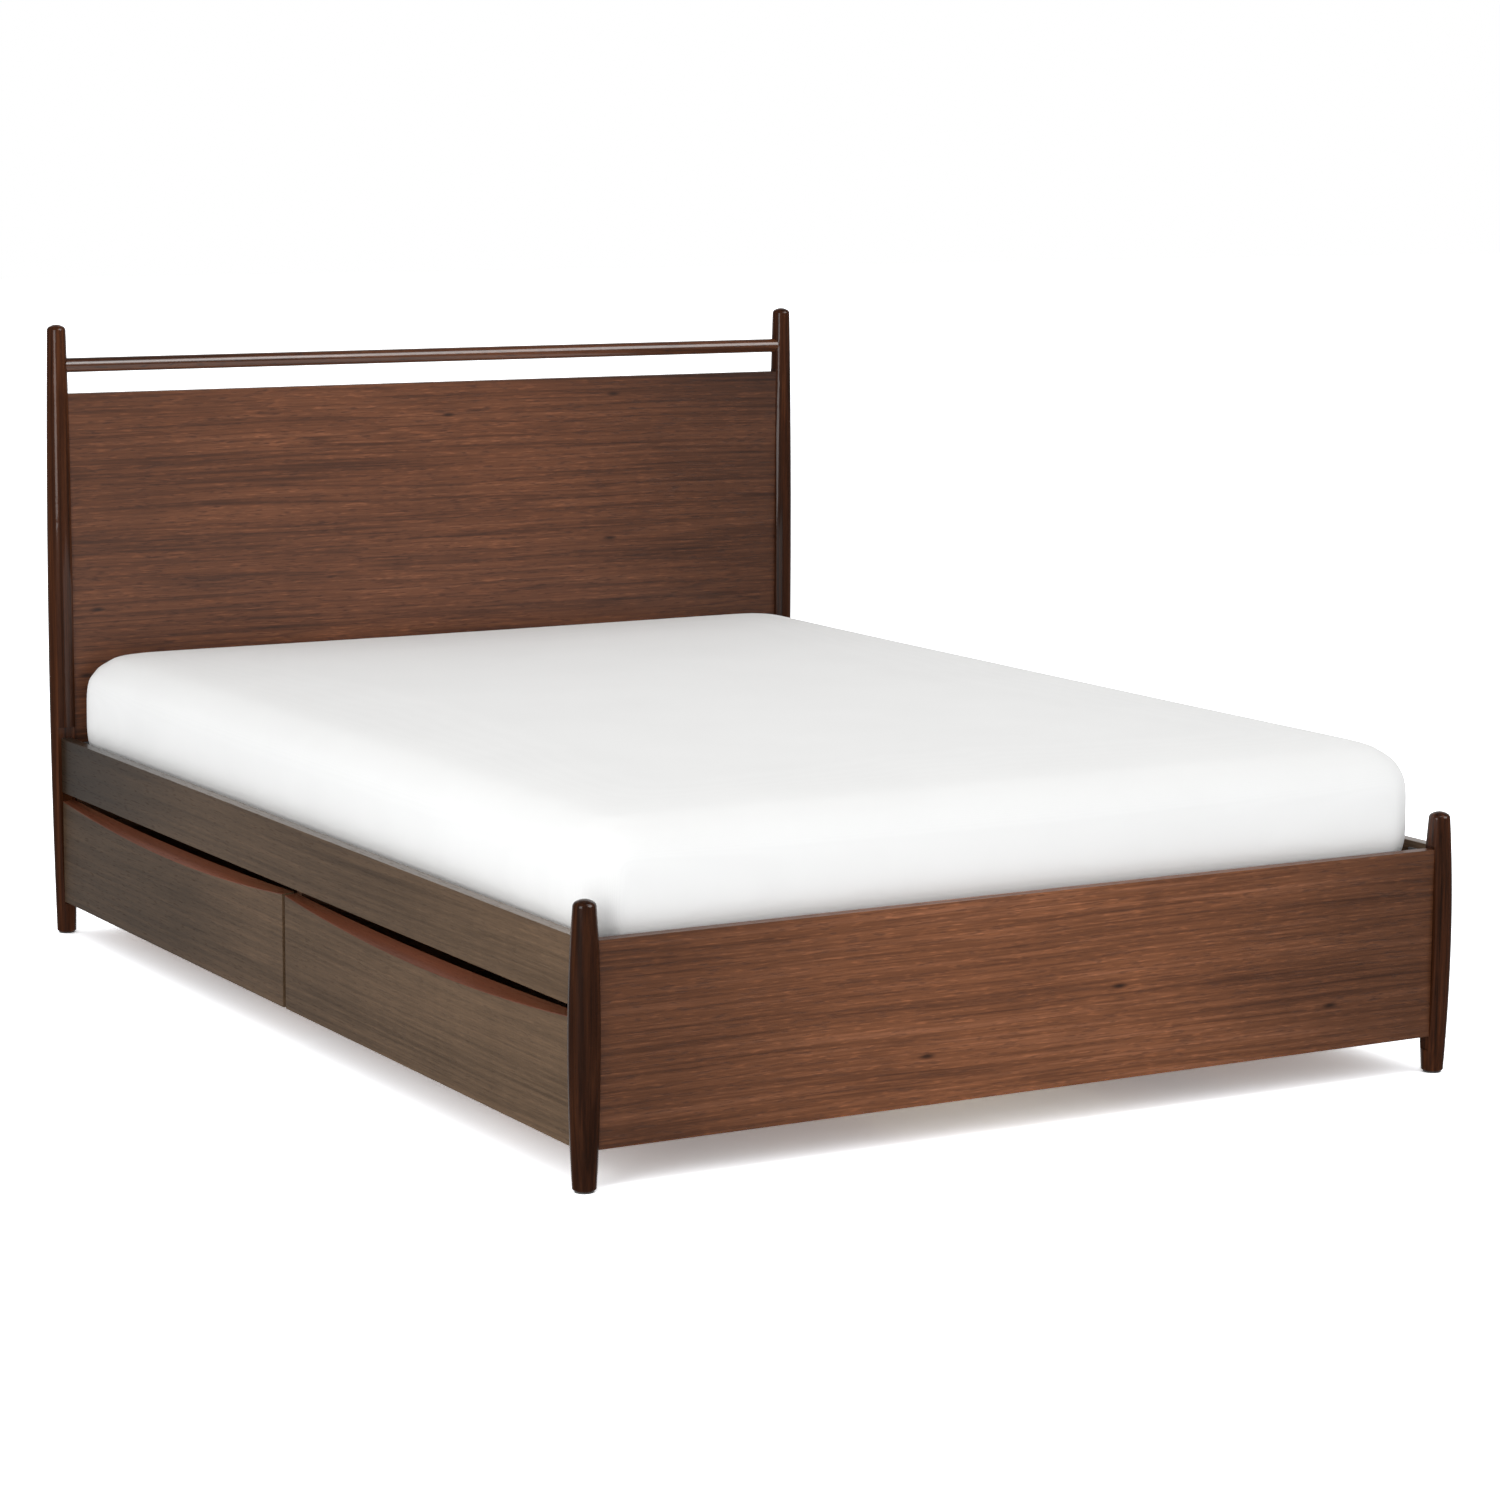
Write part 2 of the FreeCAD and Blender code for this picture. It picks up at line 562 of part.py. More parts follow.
def corner_brackets():
    """Steel angles, mitred round the legs, that hold the side rails to the two panels."""
    parts = []
    leaf, plate = S("bracket_leaf"), S("bracket_thickness")
    leg_corner = S("rail_proud - rail_thickness + 2 * leg_flat_offset - panel_thickness / 2")
    bend = f"({leg_corner} + 2 * {S('bracket_clearance')})"
    inner_bend = f"({bend} + {S('bracket_thickness * (sqrt(2) - 1)')})"
    for i, (sx, sy, turn) in enumerate(CORNERS, 1):
        body = new_body(f"bracket_{i}")
        points = [(bend, ZERO), (leaf, ZERO), (leaf, plate), (inner_bend, plate),
                  (plate, inner_bend), (plate, leaf), (ZERO, leaf), (ZERO, bend)]
        plan = outline(new_sketch(body, f"bracket_{i}_plan", "XY_Plane"), points)
        pad(body, plan, S("bracket_height"))
        levels = [f"({level} - {BRACKET_BOTTOM})" for level in bolt_levels()]
        for role, name in (("XZ_Plane", "PanelHoles"), ("YZ_Plane", "RailHoles")):
            drill = new_sketch(body, f"bracket_{i}_{name}", role)
            holes(drill, BOLT_HOLE, [(S("bolt_setback"), level) for level in levels])
            cut(body, drill, S("2 * (bracket_thickness + cut_overrun)"), name, midplane=True)
        place(body, signed(sx, RAIL_INNER), signed(sy, PANEL_INNER), BRACKET_BOTTOM, turn)
        parts.append(body)
    return group("corner_brackets", parts)


def bolt(name, x, y, z, towards):
    """A bolt whose head sits on the bracket at x, y, z; its shank runs the given way."""
    shank = cylinder(name + "_shank", S("bolt_radius"), S("bolt_reach + bracket_thickness"),
                     x, y, z, towards)
    head = cylinder(name + "_head", S("bolt_head_radius"), S("bolt_head_height"), x, y, z, -towards)
    whole = doc.addObject("Part::MultiFuse", name)
    whole.Shapes = [shank, head]
    return whole


def bracket_bolts():
    bolts = []
    for i, (sx, sy, _) in enumerate(CORNERS, 1):
        for j, level in enumerate(bolt_levels()):
            near_rail = signed(sx, f"({RAIL_INNER} - {S('bracket_thickness')})")
            along = signed(sy, f"({PANEL_INNER} - {S('bolt_setback')})")
            bolts.append(bolt(f"rail_bolt_{i}_{j}", near_rail, along, level, Vector(sx, 0, 0)))
            near_panel = signed(sy, f"({PANEL_INNER} - {S('bracket_thickness')})")
            across = signed(sx, f"({RAIL_INNER} - {S('bolt_setback')})")
            bolts.append(bolt(f"panel_bolt_{i}_{j}", across, near_panel, level, Vector(0, sy, 0)))
    return group("bracket_bolts", bolts)


# Each drawer is made in the frame of its own bay: X inwards from the front's outer face,
# Y along the bed from the middle of the bay, Z from the floor.
def in_bay(piece, x_sign, y_sign):
    return place(piece, signed(x_sign, RAIL_OUTER), signed(y_sign, BAY_CENTRE), ZERO,
                 0 if x_sign < 0 else 180)


def drawer_front(label, x_sign, y_sign):
    """The front, with a long scoop carved into its top edge as the finger pull."""
    body = new_body(label)
    outward = y_sign if x_sign < 0 else -y_sign
    centre = signed(outward, FRONT_OFFSET)
    half = f"({FRONT_WIDTH} / 2)"
    low, high = S("drawer_front_bottom"), FRONT_TOP
    left, right = f"({centre} - {half})", f"({centre} + {half})"
    face = rectangle(new_sketch(body, label + "_face", "YZ_Plane"), left, low, right, high)
    pad(body, face, S("drawer_front_thickness"))
    above = f"({FRONT_TOP} + {S('scoop_outer_dip')})"
    past_left, past_right = f"({left} - {S('front_leg_gap')})", f"({right} + {S('front_leg_gap')})"
    outer_end = f"({FRONT_TOP} - {S('scoop_end_drop')})"
    outer_mid = f"({FRONT_TOP} - {S('scoop_end_drop + scoop_outer_dip')})"
    inner_mid = f"({FRONT_TOP} - {S('scoop_inner_dip')})"
    sections = []
    for name, plane, end, middle in (("outer", ZERO, outer_end, outer_mid),
                                     ("inner", S("drawer_front_thickness"), high, inner_mid)):
        sketch = new_sketch(body, f"{label}_{name}_arc", "YZ_Plane", plane)
        outline(sketch, [(right, end), (past_right, end), (past_right, above),
                         (past_left, above), (past_left, end), (left, end)],
                {5: ("through", centre, middle)})
        sections.append(sketch)
    doc.recompute()
    before = body.Shape.Volume
    scoop = body.newObject("PartDesign::SubtractiveLoft", "Scoop")
    scoop.Profile = sections[0]
    scoop.Sections = [sections[1]]
    scoop.Ruled = True
    doc.recompute()
    if body.Shape.Volume >= before:
        raise RuntimeError(f"{label}: the scoop removes nothing")
    ease(body, lambda box: box.XMax < 0.01)
    return in_bay(body, x_sign, y_sign)


def drawer_side(label, x_sign, y_sign, side):
    """A drawer side, grooved for the bottom. side is -1 or 1 along the bay's own Y."""
    body = new_body(label)
    start = S("drawer_front_thickness")
    outer = f"({BOX_WIDTH} / 2)"
    inner = f"({outer} - {S('box_wall')})"
    plan = rectangle(new_sketch(body, label + "_plan", "XY_Plane", S("box_bottom")),
                     start, signed(side, outer), S("drawer_front_thickness + box_depth"),
                     signed(side, inner))
    pad(body, plan, f"({BOX_TOP} - {S('box_bottom')})")
    groove_low = S("box_bottom + tray_lift")
    groove_high = S("box_bottom + tray_lift + tray_thickness + 2 * groove_fit")
    groove = new_sketch(body, label + "_groove", "YZ_Plane", start)
    rectangle(groove, signed(side, f"({inner} - {S('cut_overrun')})"), groove_low,
              signed(side, f"({inner} + {S('groove_depth')})"), groove_high)
    cut(body, groove, S("box_depth"), "Groove", against=False)
    return in_bay(body, x_sign, y_sign)


def drawer_back(label, x_sign, y_sign):
    body = new_body(label)
    half = f"({BOX_WIDTH} / 2 - {S('box_wall')})"
    low = S("box_bottom + tray_lift + tray_thickness + 2 * groove_fit")
    end = S("drawer_front_thickness + box_depth")
    plan = rectangle(new_sketch(body, label + "_plan", "XY_Plane", low),
                     f"({end} - {S('box_wall')})", minus(half), end, half)
    pad(body, plan, f"({BOX_TOP} - {low})")
    return in_bay(body, x_sign, y_sign)


def drawer_bottom(label, x_sign, y_sign):
    body = new_body(label)
    half = f"({BOX_WIDTH} / 2 - {S('box_wall - groove_depth + 2 * groove_fit')})"
    level = S("box_bottom + tray_lift + groove_fit")
    start = S("drawer_front_thickness")
    plan = rectangle(new_sketch(body, label + "_plan", "XY_Plane", level),
                     start, minus(half), S("drawer_front_thickness + box_depth"), half)
    pad(body, plan, S("tray_thickness"))
    return in_bay(body, x_sign, y_sign)


def channel(side, web, tip, half_height):
    """Outline of a channel across the bay, given as distances from the bulkhead's face."""
    wall = S("runner_wall")
    level = S("box_bottom + runner_lift")
    inner_web = f"({web} + {wall})" if number(tip) > number(web) else f"({web} - {wall})"
    heights = (half_height, f"({half_height} - {wall})")
    depth = [(web, -1, 0), (tip, -1, 0), (tip, -1, 1), (inner_web, -1, 1),
             (inner_web, 1, 1), (tip, 1, 1), (tip, 1, 0), (web, 1, 0)]
    return [(signed(side, f"({BAY_WIDTH} / 2 - {across})"), f"({level} + {up} * {heights[which]})")
            for across, up, which in depth]


def runner_member(label, x_sign, y_sign, web, tip, half_height):
    """One member of the two telescopic runners of a drawer: a folded channel each side."""
    body = new_body(label)
    start = S("drawer_front_thickness + runner_setback")
    for side, tag in ((-1, "Near"), (1, "Far")):
        section = new_sketch(body, f"{label}_{tag}", "YZ_Plane", start)
        outline(section, channel(side, web, tip, half_height))
        pad(body, section, S("runner_length"), tag)
    return in_bay(body, x_sign, y_sign)


def runners(name, x_sign, y_sign):
    """Outer member on the bulkhead, sliding middle member, inner member on the drawer."""
    half = S("runner_height / 2")
    step = S("runner_wall + runner_play")
    outer_tip = S("runner_wall + runner_flange")
    middle_tip = f"({outer_tip} + {S('runner_play')})"
    inner_tip = S("2 * (runner_wall + runner_play)")
    return [
        runner_member(f"{name}_runner_outer", x_sign, y_sign, ZERO, outer_tip, half),
        runner_member(f"{name}_runner_middle", x_sign, y_sign, step, middle_tip, f"({half} - {step})"),
        runner_member(f"{name}_runner_inner", x_sign, y_sign, S("runner_space"), inner_tip,
                      f"({half} - 2 * {step})"),
    ]


def drawer(name, x_sign, y_sign):
    nodes = [drawer_front(f"{name}_front", x_sign, y_sign),
             drawer_back(f"{name}_back", x_sign, y_sign),
             drawer_bottom(f"{name}_bottom", x_sign, y_sign)]
    for side, tag in ((-1, "side_a"), (1, "side_b")):
        nodes.append(drawer_side(f"{name}_{tag}", x_sign, y_sign, side))
    return nodes + runners(name, x_sign, y_sign)


def mattress():
    """The mattress in its fitted sheet, a plain rounded block just above the slats."""
    body = new_body("mattress")
    wide = f"({RAIL_INNER} - {S('mattress_side_gap')})"
    long = f"({PANEL_INNER} - {S('mattress_end_gap')})"
    plan = rectangle(new_sketch(body, "mattress_plan", "XY_Plane"), minus(wide), minus(long), wide, long)
    pad(body, plan, S("mattress_thickness"))
    dress(body, "PartDesign::Fillet", "Corners", S("mattress_corner"),
          lambda box: box.ZLength > 1, "Radius")
    top = number(S("mattress_thickness"))
    dress(body, "PartDesign::Fillet", "Edges", S("mattress_round"),
          lambda box: box.ZMax < 0.01 or box.ZMin > top - 0.01, "Radius")
    return place(body, ZERO, ZERO, f"({SLAT_TOP} + {S('mattress_lift')})")


def build():
    nodes = []
    for board_name, y_sign in (("headboard", 1), ("footboard", -1)):
        for side, x_sign in (("left", -1), ("right", 1)):
            nodes.append(leg(f"{board_name}_leg_{side}", board_name, x_sign, y_sign))
        nodes.append(panel(f"{board_name}_panel", board_name, y_sign))
        nodes.append(dowels(board_name, y_sign))
    nodes.append(headboard_rod())
    for side, x_sign in (("left", -1), ("right", 1)):
        nodes.append(side_rail(f"side_rail_{side}", x_sign))
        nodes.append(slat_ledger(f"slat_ledger_{side}", x_sign))
    end_plane = f"({PANEL_INNER} - {S('bulkhead_thickness / 2')})"
    for tag, y in (("foot", minus(end_plane)), ("middle", ZERO), ("head", end_plane)):
        nodes.append(bulkhead(f"bulkhead_{tag}", y))
    for tag, y_sign in (("foot", -1), ("head", 1)):
        nodes.append(centre_post(f"centre_post_{tag}", y_sign))
    nodes += [centre_beam(), slats(), corner_brackets(), bracket_bolts(), glides(), mattress()]
    for side, x_sign in (("left", -1), ("right", 1)):
        for end, y_sign in (("foot", -1), ("head", 1)):
            nodes += drawer(f"drawer_{side}_{end}", x_sign, y_sign)
    return nodes


def check(nodes):
    for piece in doc.Objects:
        if {"Invalid", "Error"} & set(piece.State):
            raise RuntimeError(f"{piece.Label}: {piece.State}")
    for node in nodes:
        if node.Shape.isNull() or not node.Shape.isValid() or not node.Shape.Solids:
            raise RuntimeError(f"{node.Label}: no valid solid")


def export(nodes):
    os.makedirs("parts", exist_ok=True)
    for node in nodes:
        node.Shape.exportStep(f"parts/{node.Label}.step")


NODES = build()
doc.recompute()
check(NODES)
export(NODES)
print(len(NODES), "nodes")
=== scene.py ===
"""Walnut platform bed with storage drawers: finishes, bedding and stage around the CAD frame."""
import math

import bmesh
import bpy
from bpy.props import FloatProperty, FloatVectorProperty, IntProperty, PointerProperty, StringProperty
from mathutils import Matrix, Vector, noise


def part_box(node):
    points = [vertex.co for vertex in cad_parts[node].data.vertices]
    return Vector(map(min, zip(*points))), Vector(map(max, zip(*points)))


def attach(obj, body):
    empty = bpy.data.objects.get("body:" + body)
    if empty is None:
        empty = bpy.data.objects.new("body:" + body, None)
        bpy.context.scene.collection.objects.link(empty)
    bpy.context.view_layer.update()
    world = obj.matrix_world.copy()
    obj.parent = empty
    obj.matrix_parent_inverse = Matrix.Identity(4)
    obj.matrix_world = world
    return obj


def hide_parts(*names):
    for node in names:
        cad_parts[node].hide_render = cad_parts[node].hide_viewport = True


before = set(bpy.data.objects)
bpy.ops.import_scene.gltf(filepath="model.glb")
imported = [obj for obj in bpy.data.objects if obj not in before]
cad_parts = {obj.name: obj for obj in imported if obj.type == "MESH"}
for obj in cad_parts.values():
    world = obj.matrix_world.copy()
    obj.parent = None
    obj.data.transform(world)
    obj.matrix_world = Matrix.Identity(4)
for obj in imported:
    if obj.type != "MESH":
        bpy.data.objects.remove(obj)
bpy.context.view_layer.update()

bl_info = {
    "name": "Walnut Storage Bed",
    "version": (1, 0, 0),
    "blender": (4, 5, 0),
    "location": "View3D > Sidebar > Storage Bed",
    "description": "Finishes the frame of a walnut bed with drawers, and makes its mattress and sheet",
    "category": "Object",
}

MM = 0.001
# The way from the middle of the bed to the studio's backdrop.
BACKDROP = (0.48, 0.87, 0.0)
# The way to the large soft lamp that gloss finds above and in front of the bed.
SOFTBOX = (0.49, -0.71, 0.51)
# Levels at which the mattress's walls are shaped.
LEVELS = 40
SIDES = ("left", "right")
ENDS = ("foot", "head")
DRAWERS = [f"drawer_{side}_{end}" for side in SIDES for end in ENDS]


# ------------------------------------------------------------------ settings
class BedWood(bpy.types.PropertyGroup):
    """Colours of the walnut, from its dark latewood to its light sapwood streaks."""

    headboard_dark: StringProperty(
        name="Headboard dark", description="Latewood of the headboard veneer", default="#3c2114")
    headboard_mid: StringProperty(
        name="Headboard middle", description="Body colour of the headboard veneer", default="#683d25")
    headboard_light: StringProperty(
        name="Headboard light", description="Lightest streaks of the headboard veneer", default="#7d4d32")
    footboard_dark: StringProperty(
        name="Footboard dark", description="Latewood of the footboard veneer", default="#54301c")
    footboard_mid: StringProperty(
        name="Footboard middle", description="Body colour of the footboard veneer", default="#7d4b2c")
    footboard_light: StringProperty(
        name="Footboard light", description="Lightest streaks of the footboard veneer", default="#965f3f")
    # The rails and drawer fronts are drawn greyer than the panels: partly their own tone, partly a painted
    # grey sheen.
    side_dark: StringProperty(
        name="Rail dark", description="Latewood of the rails and drawer fronts", default="#473626")
    side_mid: StringProperty(
        name="Rail middle", description="Body colour of the rails and drawer fronts", default="#5c4835")
    side_light: StringProperty(
        name="Rail light", description="Light streaks of the rails and fronts", default="#69523d")
    leg_dark: StringProperty(
        name="Leg dark", description="Latewood of the turned legs", default="#1a0b04")
    leg_mid: StringProperty(
        name="Leg middle", description="Body colour of the turned legs", default="#361a0a")
    leg_light: StringProperty(
        name="Leg light", description="Lightest streaks of the turned legs", default="#4e2a14")
    knot: StringProperty(
        name="Knot", description="Eyes of the pin knots", default="#24120a")
    lipping: StringProperty(
        name="Lipping", description="Solid edge wood laid bare by the finger scoops", default="#74402a")
    growth_ring: FloatProperty(
        name="Growth ring", description="Spacing of the tree's rings", default=0.011, unit="LENGTH")
    pore_length: FloatProperty(
        name="Pore length", description="Length of one open pore", default=0.016, unit="LENGTH")
    pore_width: FloatProperty(
        name="Pore width", description="Width of one open pore, as drawn", default=0.0017, unit="LENGTH")


class BedBedding(bpy.types.PropertyGroup):
    """Sizes and colours of the mattress and its fitted sheet."""

    corner: FloatProperty(
        name="Corner", description="Corner radius of the mattress in plan", default=0.056, unit="LENGTH")
    upper_round: FloatProperty(
        name="Upper rounding", description="Rounding of the upper edges", default=0.074, unit="LENGTH")
    lower_round: FloatProperty(
        name="Lower rounding", description="Rounding of the lower edges", default=0.045, unit="LENGTH")
    swell: FloatProperty(
        name="Swell", description="Most that the foam may push its cover out", default=0.009, unit="LENGTH")
    mesh_size: FloatProperty(
        name="Mesh size", description="Voxel size of the cover before it is inflated", default=0.022,
        unit="LENGTH")
    tuck: FloatProperty(
        name="Tuck", description="How far the foot of each side wall pulls in", default=0.012, unit="LENGTH")
    turn_under: FloatProperty(
        name="Turn under", description="Width of sheet gathered under the mattress", default=0.11,
        unit="LENGTH")
    cloth_thickness: FloatProperty(
        name="Cloth thickness", description="Thickness of the sheet's cotton", default=0.0008, unit="LENGTH")
    fold_height: FloatProperty(
        name="Fold height", description="Height of the soft tension folds", default=0.0024, unit="LENGTH")
    hem_width: FloatProperty(
        name="Hem width", description="Width of the elastic hem", default=0.03, unit="LENGTH")
    frames: IntProperty(
        name="Frames", description="Frames of cloth simulation", default=20)
    pressure: FloatProperty(
        name="Pressure", description="Pressure of the foam on its cover", default=4.0)
    cotton: StringProperty(
        name="Cotton", description="Colour of the fitted sheet", default="#f3f3f2")
    hem: StringProperty(
        name="Hem", description="Colour of the elastic hem", default="#e4e4e2")
    ticking: StringProperty(
        name="Ticking", description="Colour of the mattress cover", default="#e9e6df")


class BedStage(bpy.types.PropertyGroup):
    """Camera, lamps and floor."""

    camera_place: FloatVectorProperty(
        name="Camera place", description="Where the camera stands", subtype="TRANSLATION",
        default=(-3.4923, -6.1996, 1.581))
    camera_yaw: FloatProperty(
        name="Yaw", description="Turn of the camera from +Y towards +X", subtype="ANGLE",
        default=math.radians(29.256))
    camera_pitch: FloatProperty(
        name="Pitch", description="How far the camera looks down", subtype="ANGLE",
        default=math.radians(8.173))
    camera_roll: FloatProperty(
        name="Roll", description="Roll of the camera", subtype="ANGLE", default=math.radians(0.249))
    camera_lens: FloatProperty(
        name="Lens", description="Focal length in millimetres on a 36 mm sensor", default=96.49)
    camera_shift: FloatVectorProperty(
        name="Shift", description="Lens shift across and up", size=2, default=(0.04, -0.04))
    sky: FloatProperty(
        name="Sky", description="Brightness of the white surroundings", default=0.88)
    room_gloss: FloatProperty(
        name="Room gloss", description="Brightness of the dim room that gloss finds", default=0.05)
    key_power: FloatProperty(
        name="Key power", description="Power of the large front lamp", default=2.0)
    fill_power: FloatProperty(
        name="Fill power", description="Power of the lamp beyond the foot of the bed", default=58.0)
    strip_power: FloatProperty(
        name="Strip power", description="Power of the narrow lamp overhead", default=14.0)
    floor_glow: FloatProperty(
        name="Floor glow", description="Light given off by the lit studio floor", default=0.4)
    floor_glow_seen: FloatProperty(
        name="Floor glow seen", description="The part of that glow that the camera sees", default=0.15)
    floor_paint: FloatProperty(
        name="Floor paint", description="Share of light that the floor returns to the bed", default=0.7)
    softbox: FloatProperty(
        name="Softbox", description="Brightness of the soft lamp that gloss finds", default=5.0)
    floor_exposure: FloatProperty(
        name="Floor exposure", description="How strongly the floor shows to the camera", default=2.2)
    floor_size: FloatProperty(
        name="Floor size", description="Width of the studio floor", default=60.0, unit="LENGTH")


# --------------------------------------------------------------- node helpers
def linear(code):
    """An sRGB hex colour as the linear RGBA that shaders take."""
    values = [int(code[i:i + 2], 16) / 255 for i in (1, 3, 5)]
    return tuple(v / 12.92 if v <= 0.04045 else ((v + 0.055) / 1.055) ** 2.4 for v in values) + (1.0,)


def add(tree, kind, sockets=None, stops=None, **settings):
    """Adds a node, with its settings, its sockets' values or links, and its ramp's stops."""
    node = tree.nodes.new("ShaderNode" + kind)
    for key, value in settings.items():
        setattr(node, key, value)
    for key, value in (sockets or {}).items():
        if isinstance(value, bpy.types.NodeSocket):
            tree.links.new(value, node.inputs[key])
        else:
            node.inputs[key].default_value = value
    if stops:
        elements = node.color_ramp.elements
        while len(elements) < len(stops):
            elements.new(0.5)
        for element, (position, colour) in zip(elements, stops):
            element.position, element.color = position, colour
    return node


def grey(value):
    return (value, value, value, 1.0)


def new_material(name):
    """An empty material, its node tree and its shader."""
    material = bpy.data.materials.new(name)
    material.use_nodes = True
    tree = material.node_tree
    shader = tree.nodes["Principled BSDF"]
    return material, tree, shader


def wear(tree, shader, height, strength, depth):
    """Links a height to the shader's normal as a bump so many metres deep."""
    bump = add(tree, "Bump", {"Height": height, "Strength": strength, "Distance": depth})
    tree.links.new(bump.outputs["Normal"], shader.inputs["Normal"])


# Turns that lay a piece's own grain direction along the pattern's X.
GRAIN_TURN = {"X": (0, 0, 0), "Y": (0, 0, -math.pi / 2), "Z": (0, math.pi / 2, 0)}


def walnut(name, grain, tones, seed, pith=(0.25, 0.8, 0.05), figure=0.5, roughness=0.42, coat=0.1,
           lipping=None, ends=None, pore_depth=0.55, fleck=0.5, knots=False, specular=0.4,
           coat_roughness=0.18, brightness=1.0):
    """Walnut, sliced or sawn, sanded and lacquered: long dark rings that close into arches where
    the cut nears the heart, streaks of lighter wood, open pores and a faint cross ripple.
    tones are its dark, middle and light colours. pith is how deep and how high the heart lies, and its tilt
    to the board. figure is how strongly rings and veins show, pore_depth and fleck how strongly pores and
    glints do. ends is the board's half length, and how much darker it is drawn towards its low and its high
    end: partly the wood's own tone, partly painted light and shade. The last argument scales the whole
    board's lightness, likewise partly its own tone and partly painted light and shade. lipping is the colour
    of a solid edge under the veneer."""
    wood = bpy.context.scene.bed_wood
    material, tree, shader = new_material(name)
    place = add(tree, "TexCoord").outputs["Object"]
    shift = (seed * 3.7 % 5, seed * 1.3 % 2 * 0.01, seed * 2.1 % 2 * 0.01)
    along = add(tree, "Mapping", {"Vector": place, "Rotation": GRAIN_TURN[grain], "Location": shift})
    along = along.outputs["Vector"]

    # The trunk was never straight: the grain drifts some centimetres over a board's length.
    slow = add(tree, "Mapping", {"Vector": along, "Scale": (0.7, 2.0, 2.0)}).outputs["Vector"]
    drift = add(tree, "TexNoise", {"Vector": slow, "Scale": 1.0, "Detail": 2.0}).outputs["Color"]
    centred = add(tree, "VectorMath", {0: drift, 1: (0.5, 0.5, 0.5)}, operation="SUBTRACT")
    pushed = add(tree, "VectorMath", {0: centred.outputs[0], 1: (0.0, 0.045, 0.045)}, operation="MULTIPLY")
    wavy = add(tree, "VectorMath", {0: along, 1: pushed.outputs[0]}, operation="ADD").outputs[0]

    depth, height, tilt = pith
    heart = add(tree, "Mapping", {"Vector": wavy, "Location": (0, depth, -height),
                                  "Rotation": (0, 0, tilt)}).outputs["Vector"]
    ring_scale = math.pi / 10 / wood.growth_ring
    rings = add(tree, "TexWave", {"Vector": heart, "Scale": ring_scale, "Distortion": 0.6, "Detail": 2.0,
                                  "Detail Scale": 0.5, "Detail Roughness": 0.5},
                wave_type="RINGS", rings_direction="X", wave_profile="SAW").outputs["Fac"]
    latewood = add(tree, "ValToRGB", {"Fac": rings},
                   [(0.0, grey(0.15)), (0.1, grey(0.0)), (0.62, grey(0.05)), (0.93, grey(0.4)),
                    (1.0, grey(0.2))]).outputs["Color"]

    # Streaks a few millimetres wide and bands a hand wide, both far longer than they are broad.
    thin = add(tree, "Mapping", {"Vector": wavy, "Scale": (1.5, 150, 150)}).outputs["Vector"]
    streaks = add(tree, "TexNoise", {"Vector": thin, "Scale": 1.0, "Detail": 5.0, "Roughness": 0.62})
    wide = add(tree, "Mapping", {"Vector": wavy, "Scale": (0.5, 11, 11)}).outputs["Vector"]
    bands = add(tree, "TexNoise", {"Vector": wide, "Scale": 1.0, "Detail": 3.0, "Roughness": 0.55})
    part = add(tree, "Math", {0: streaks.outputs["Fac"], 1: 0.65}, operation="MULTIPLY")
    tone = add(tree, "Math", {0: bands.outputs["Fac"], 1: 0.35, 2: part.outputs[0]}, operation="MULTIPLY_ADD")
    dark, middle, light = (linear(code) for code in tones)
    body = add(tree, "ValToRGB", {"Fac": tone.outputs[0]},
               [(0.34, dark), (0.5, middle), (0.66, light)]).outputs["Color"]
    # Veins: thin dark lines, a hand to an arm long, that follow the streaks.
    vein = add(tree, "Mapping", {"Vector": wavy, "Scale": (1.1, 46, 46)}).outputs["Vector"]
    level = add(tree, "TexNoise", {"Vector": vein, "Scale": 1.0, "Detail": 2.0, "Roughness": 0.4})
    veins = add(tree, "ValToRGB", {"Fac": level.outputs["Fac"]},
                [(0.47, grey(0)), (0.493, grey(1)), (0.507, grey(1)), (0.53, grey(0))]).outputs["Color"]
    both = add(tree, "Math", {0: latewood, 1: veins}, operation="MAXIMUM").outputs[0]
    lines = add(tree, "Math", {0: bands.outputs["Fac"], 1: both}, operation="MULTIPLY").outputs[0]
    share = add(tree, "Math", {0: lines, 1: figure}, operation="MULTIPLY").outputs[0]
    ringed = add(tree, "Mix", {0: share, 6: body, 7: dark}, data_type="RGBA").outputs[2]

    # Fibres and pores. A walnut pore is 0.2 mm wide, drawn wider so that it shows.
    fine = add(tree, "Mapping", {"Vector": along, "Scale": (16, 420, 420)}).outputs["Vector"]
    fibres = add(tree, "TexNoise", {"Vector": fine, "Scale": 1.0, "Detail": 2.0}).outputs["Fac"]
    pore_scale = (1 / wood.pore_length, 1 / wood.pore_width, 1 / wood.pore_width)
    dashes = add(tree, "Mapping", {"Vector": along, "Scale": pore_scale}).outputs["Vector"]
    specks = add(tree, "TexNoise", {"Vector": dashes, "Scale": 0.6, "Detail": 1.0}).outputs["Fac"]
    pores = add(tree, "ValToRGB", {"Fac": specks}, [(0.58, grey(0)), (0.72, grey(1))]).outputs["Color"]
    across = add(tree, "Mapping", {"Vector": along, "Scale": (26, 6, 6)}).outputs["Vector"]
    ripple = add(tree, "TexNoise", {"Vector": across, "Scale": 1.0, "Detail": 1.0}).outputs["Fac"]
    glow = add(tree, "Math", {0: fibres, 1: 0.46, 2: 0.66}, operation="MULTIPLY_ADD").outputs[0]
    glow = add(tree, "Math", {0: ripple, 1: 0.16, 2: glow}, operation="MULTIPLY_ADD").outputs[0]
